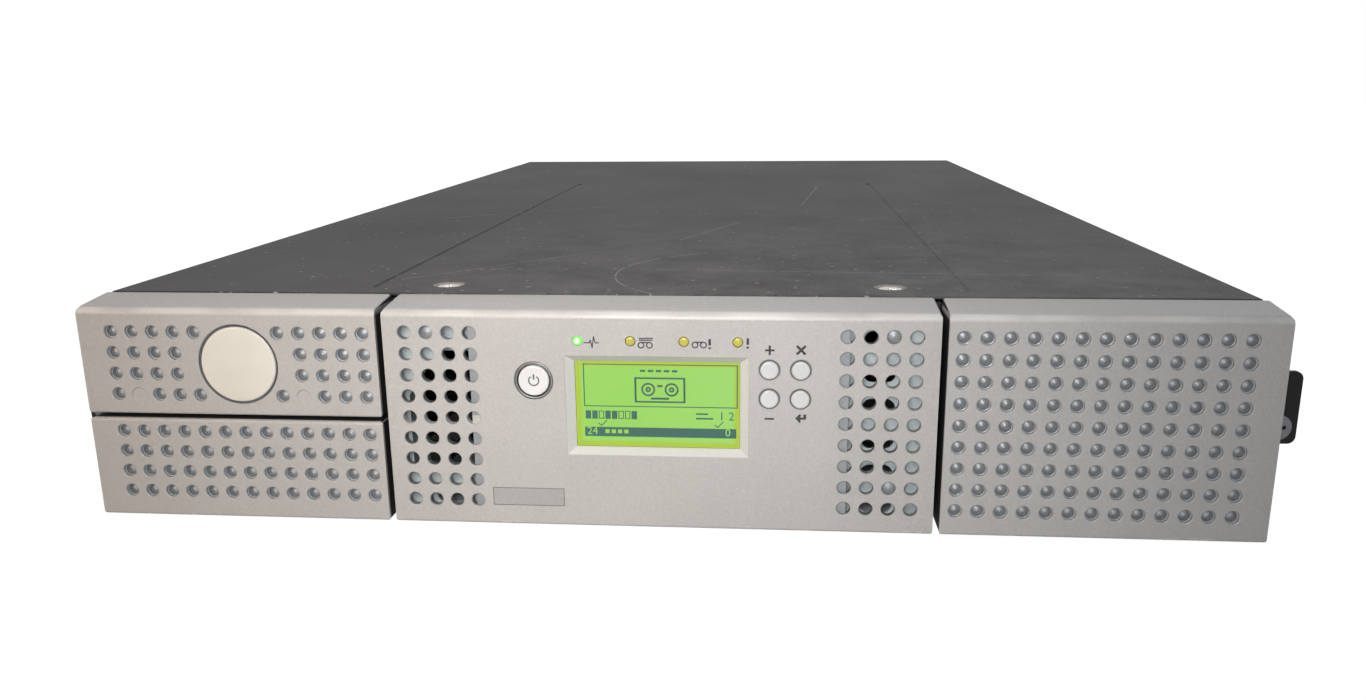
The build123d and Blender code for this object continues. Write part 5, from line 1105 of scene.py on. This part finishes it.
def make_label():
    """The blank clear label at the lower left of the panel, with its printed border."""
    x, z = (-63.8, -36.2), (8.6, 15.6)
    corner = (x[0] * MM, FRONT - 0.06 * MM, z[0] * MM)
    film = block("blank_label", corner, (x[1] * MM, FRONT + INK, z[1] * MM))
    mount(soften(film, 0.03 * MM, 1), "chassis", LABEL)
    border = outline(x, z, 0.2, FRONT - 0.07 * MM)
    mount(join("label_border", border), "chassis", PRINT)


def refine(node, width):
    """Shows, in place of a sharp CAD node, a copy with whole flat faces and rounded edges."""
    source = frame["nodes"][node]
    twin = source.copy()
    twin.data = source.data.copy()
    for key in [k for k in twin.keys() if k.startswith("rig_")]:
        del twin[key]
    twin.parent = None
    twin.matrix_world = Matrix.Identity(4)
    twin.name = node + "_finish"
    bpy.context.collection.objects.link(twin)
    ops_mode(twin, "EDIT")
    bpy.ops.mesh.select_all(action="SELECT")
    bpy.ops.mesh.remove_doubles(threshold=0.002 * MM)
    bpy.ops.mesh.dissolve_limited(angle_limit=math.radians(1.0))
    soften(done(twin), width, angle=45)
    return mount(twin, NODE_BODY[node], NODE_FINISH[SLOT_OF[node]], node)


# Nodes that are shown with softened edges, and the rounding in millimetres.
REFINED = {
    "top_cover": 0.25, "base_tray": 0.25, "rack_ears": 0.35, "rack_ear_screws": 0.30,
    "case_screws": 0.18, "drive_sled": 0.22, "power_supply": 0.22, "sled_handle": 0.9,
    "supply_handle": 0.8, "sled_thumbscrews": 0.4, "tape_drive": 0.4, "drive_ports": 0.3,
    "network_jack": 0.2, "usb_port": 0.2, "power_inlet": 0.35, "rear_panel": 0.2,
    "controller_faceplate": 0.2, "io_station_tray": 0.3, "left_magazine_frame": 0.3,
    "right_magazine_frame": 0.3, "front_bulkhead": 0.2,
}
for refined_node, edge_width in REFINED.items():
    refine(refined_node, edge_width * MM)
drills = hole_tools()
make_plain_bezel("right_bezel", "right_magazine_bezel", FULL_TOP_ROW, 9, drills)
make_left_bezel(drills)
make_badge()
make_plain_bezel("left_lower_bezel", "io_station_bezel", LOWER_TOP_ROW, 4, drills)
make_centre_bezel(drills)
for drill in drills.values():
    bpy.data.objects.remove(drill)
make_keys()
make_legends()
make_display()
make_lamps()
make_label()


def area_light(name, place, target, size, power, colour, spread):
    """A soft box that points at a place, with its beam's spread in degrees."""
    lamp = bpy.data.lights.new(name, "AREA")
    lamp.shape = "RECTANGLE"
    lamp.size, lamp.size_y = size
    lamp.energy = power
    lamp.color = colour
    lamp.spread = math.radians(spread)
    obj = bpy.data.objects.new(name, lamp)
    bpy.context.collection.objects.link(obj)
    obj.location = place
    obj.rotation_euler = (Vector(target) - Vector(place)).to_track_quat("-Z", "Y").to_euler()
    return obj


def make_floor():
    """A pale floor that runs out to white for the camera and keeps the object's shadow."""
    bpy.ops.object.select_all(action="DESELECT")
    bpy.ops.mesh.primitive_plane_add(size=16, location=(0, 0, -0.0004))
    floor = start("floor")
    finish = Finish("pale_floor", Roughness=0.8)
    finish.set(Base_Color=finish.mix(finish.noise(3.0), (0.26, 0.26, 0.26), (0.28, 0.28, 0.28)))
    lift = finish.node("ShaderNodeEmission", inputs={"Strength": FLOOR_LIFT})
    both = finish.node("ShaderNodeAddShader", inputs={0: finish.own("Principled BSDF"), 1: lift})
    grey = finish.node("ShaderNodeBsdfDiffuse", inputs={"Color": (FLOOR_BOUNCE,) * 3})
    finish.surface("Material Output", grey, both)
    dress(floor, finish)


FLOOR_LIFT = 0.92
FLOOR_BOUNCE = 0.30
AMBIENT = 0.12
# Soft boxes: place, target, size, power, colour and the beam's spread.
SOFT_BOXES = {
    "key": ((-0.05, -0.74, 0.25), (-0.03, -0.38, 0.05), (0.22, 0.14), 0.235, (1.0, 0.95, 0.90), 85),
    "near": ((0.02, -0.80, 0.19), (0.00, -0.38, 0.05), (0.08, 0.05), 0.20, (0.97, 0.98, 1.0), 110),
    "warm": ((-0.42, -0.72, 0.22), (-0.17, -0.39, 0.03), (0.25, 0.20), 0.14, (1.0, 0.66, 0.42), 100),
    "fill": ((1.3, -0.9, 0.8), (0.2, -0.2, 0.05), (0.9, 0.7), 1.4, (0.34, 0.66, 1.0), 180),
    "top": ((-0.1, 0.9, 1.9), (0, 0.0, 0.08), (1.2, 0.9), 5.4, (1.0, 0.94, 0.91), 180),
    "drawn_out": ((0.0, -1.35, 1.0), (0.0, -0.88, 0.04), (0.45, 0.2), 0.75, (1.0, 0.97, 0.94), 30),
}


def make_studio():
    """The floor, a white surround for the camera, a soft grey one for the rest, and soft boxes."""
    make_floor()
    world = bpy.data.worlds.new("studio")
    bpy.context.scene.world = world
    world.use_nodes = True
    sky = Nodes(world.node_tree)
    grey = sky.tree.nodes["Background"]
    sky.feed(grey.inputs["Color"], (0.80, 0.89, 1.0))
    sky.feed(grey.inputs["Strength"], AMBIENT)
    white = sky.node("ShaderNodeBackground", inputs={"Color": (1.0, 1.0, 1.0), "Strength": 1.0})
    sky.surface("World Output", sky.own("Background"), white)
    for name, settings in SOFT_BOXES.items():
        area_light(name, *settings)


CAMERA_PLACE = (43.26 * MM, FRONT - 374.88 * MM, 164.76 * MM)
CAMERA_PITCH = 14.047
CAMERA_YAW = 4.906
CAMERA_ROLL = 0.665
CAMERA_LENS = 27.87


def make_camera():
    """The camera at the photograph's viewing angle."""
    camera = bpy.data.objects.new("camera", bpy.data.cameras.new("camera"))
    bpy.context.collection.objects.link(camera)
    camera.data.lens = CAMERA_LENS
    camera.data.sensor_width = 36
    camera.data.clip_start = 0.02
    looking_back = Matrix(((1, 0, 0), (0, 0, -1), (0, 1, 0)))
    turn = Matrix.Rotation(math.radians(CAMERA_ROLL), 3, "Z")
    turn = turn @ Matrix.Rotation(math.radians(CAMERA_YAW), 3, "Y")
    turn = turn @ Matrix.Rotation(math.radians(CAMERA_PITCH), 3, "X")
    to_camera = turn @ looking_back
    basis = to_camera.transposed() @ Matrix.Diagonal((1, -1, -1))
    camera.matrix_world = Matrix.Translation(CAMERA_PLACE) @ basis.to_4x4()
    bpy.context.scene.camera = camera


make_studio()
make_camera()
bpy.context.scene.view_settings.view_transform = "Standard"
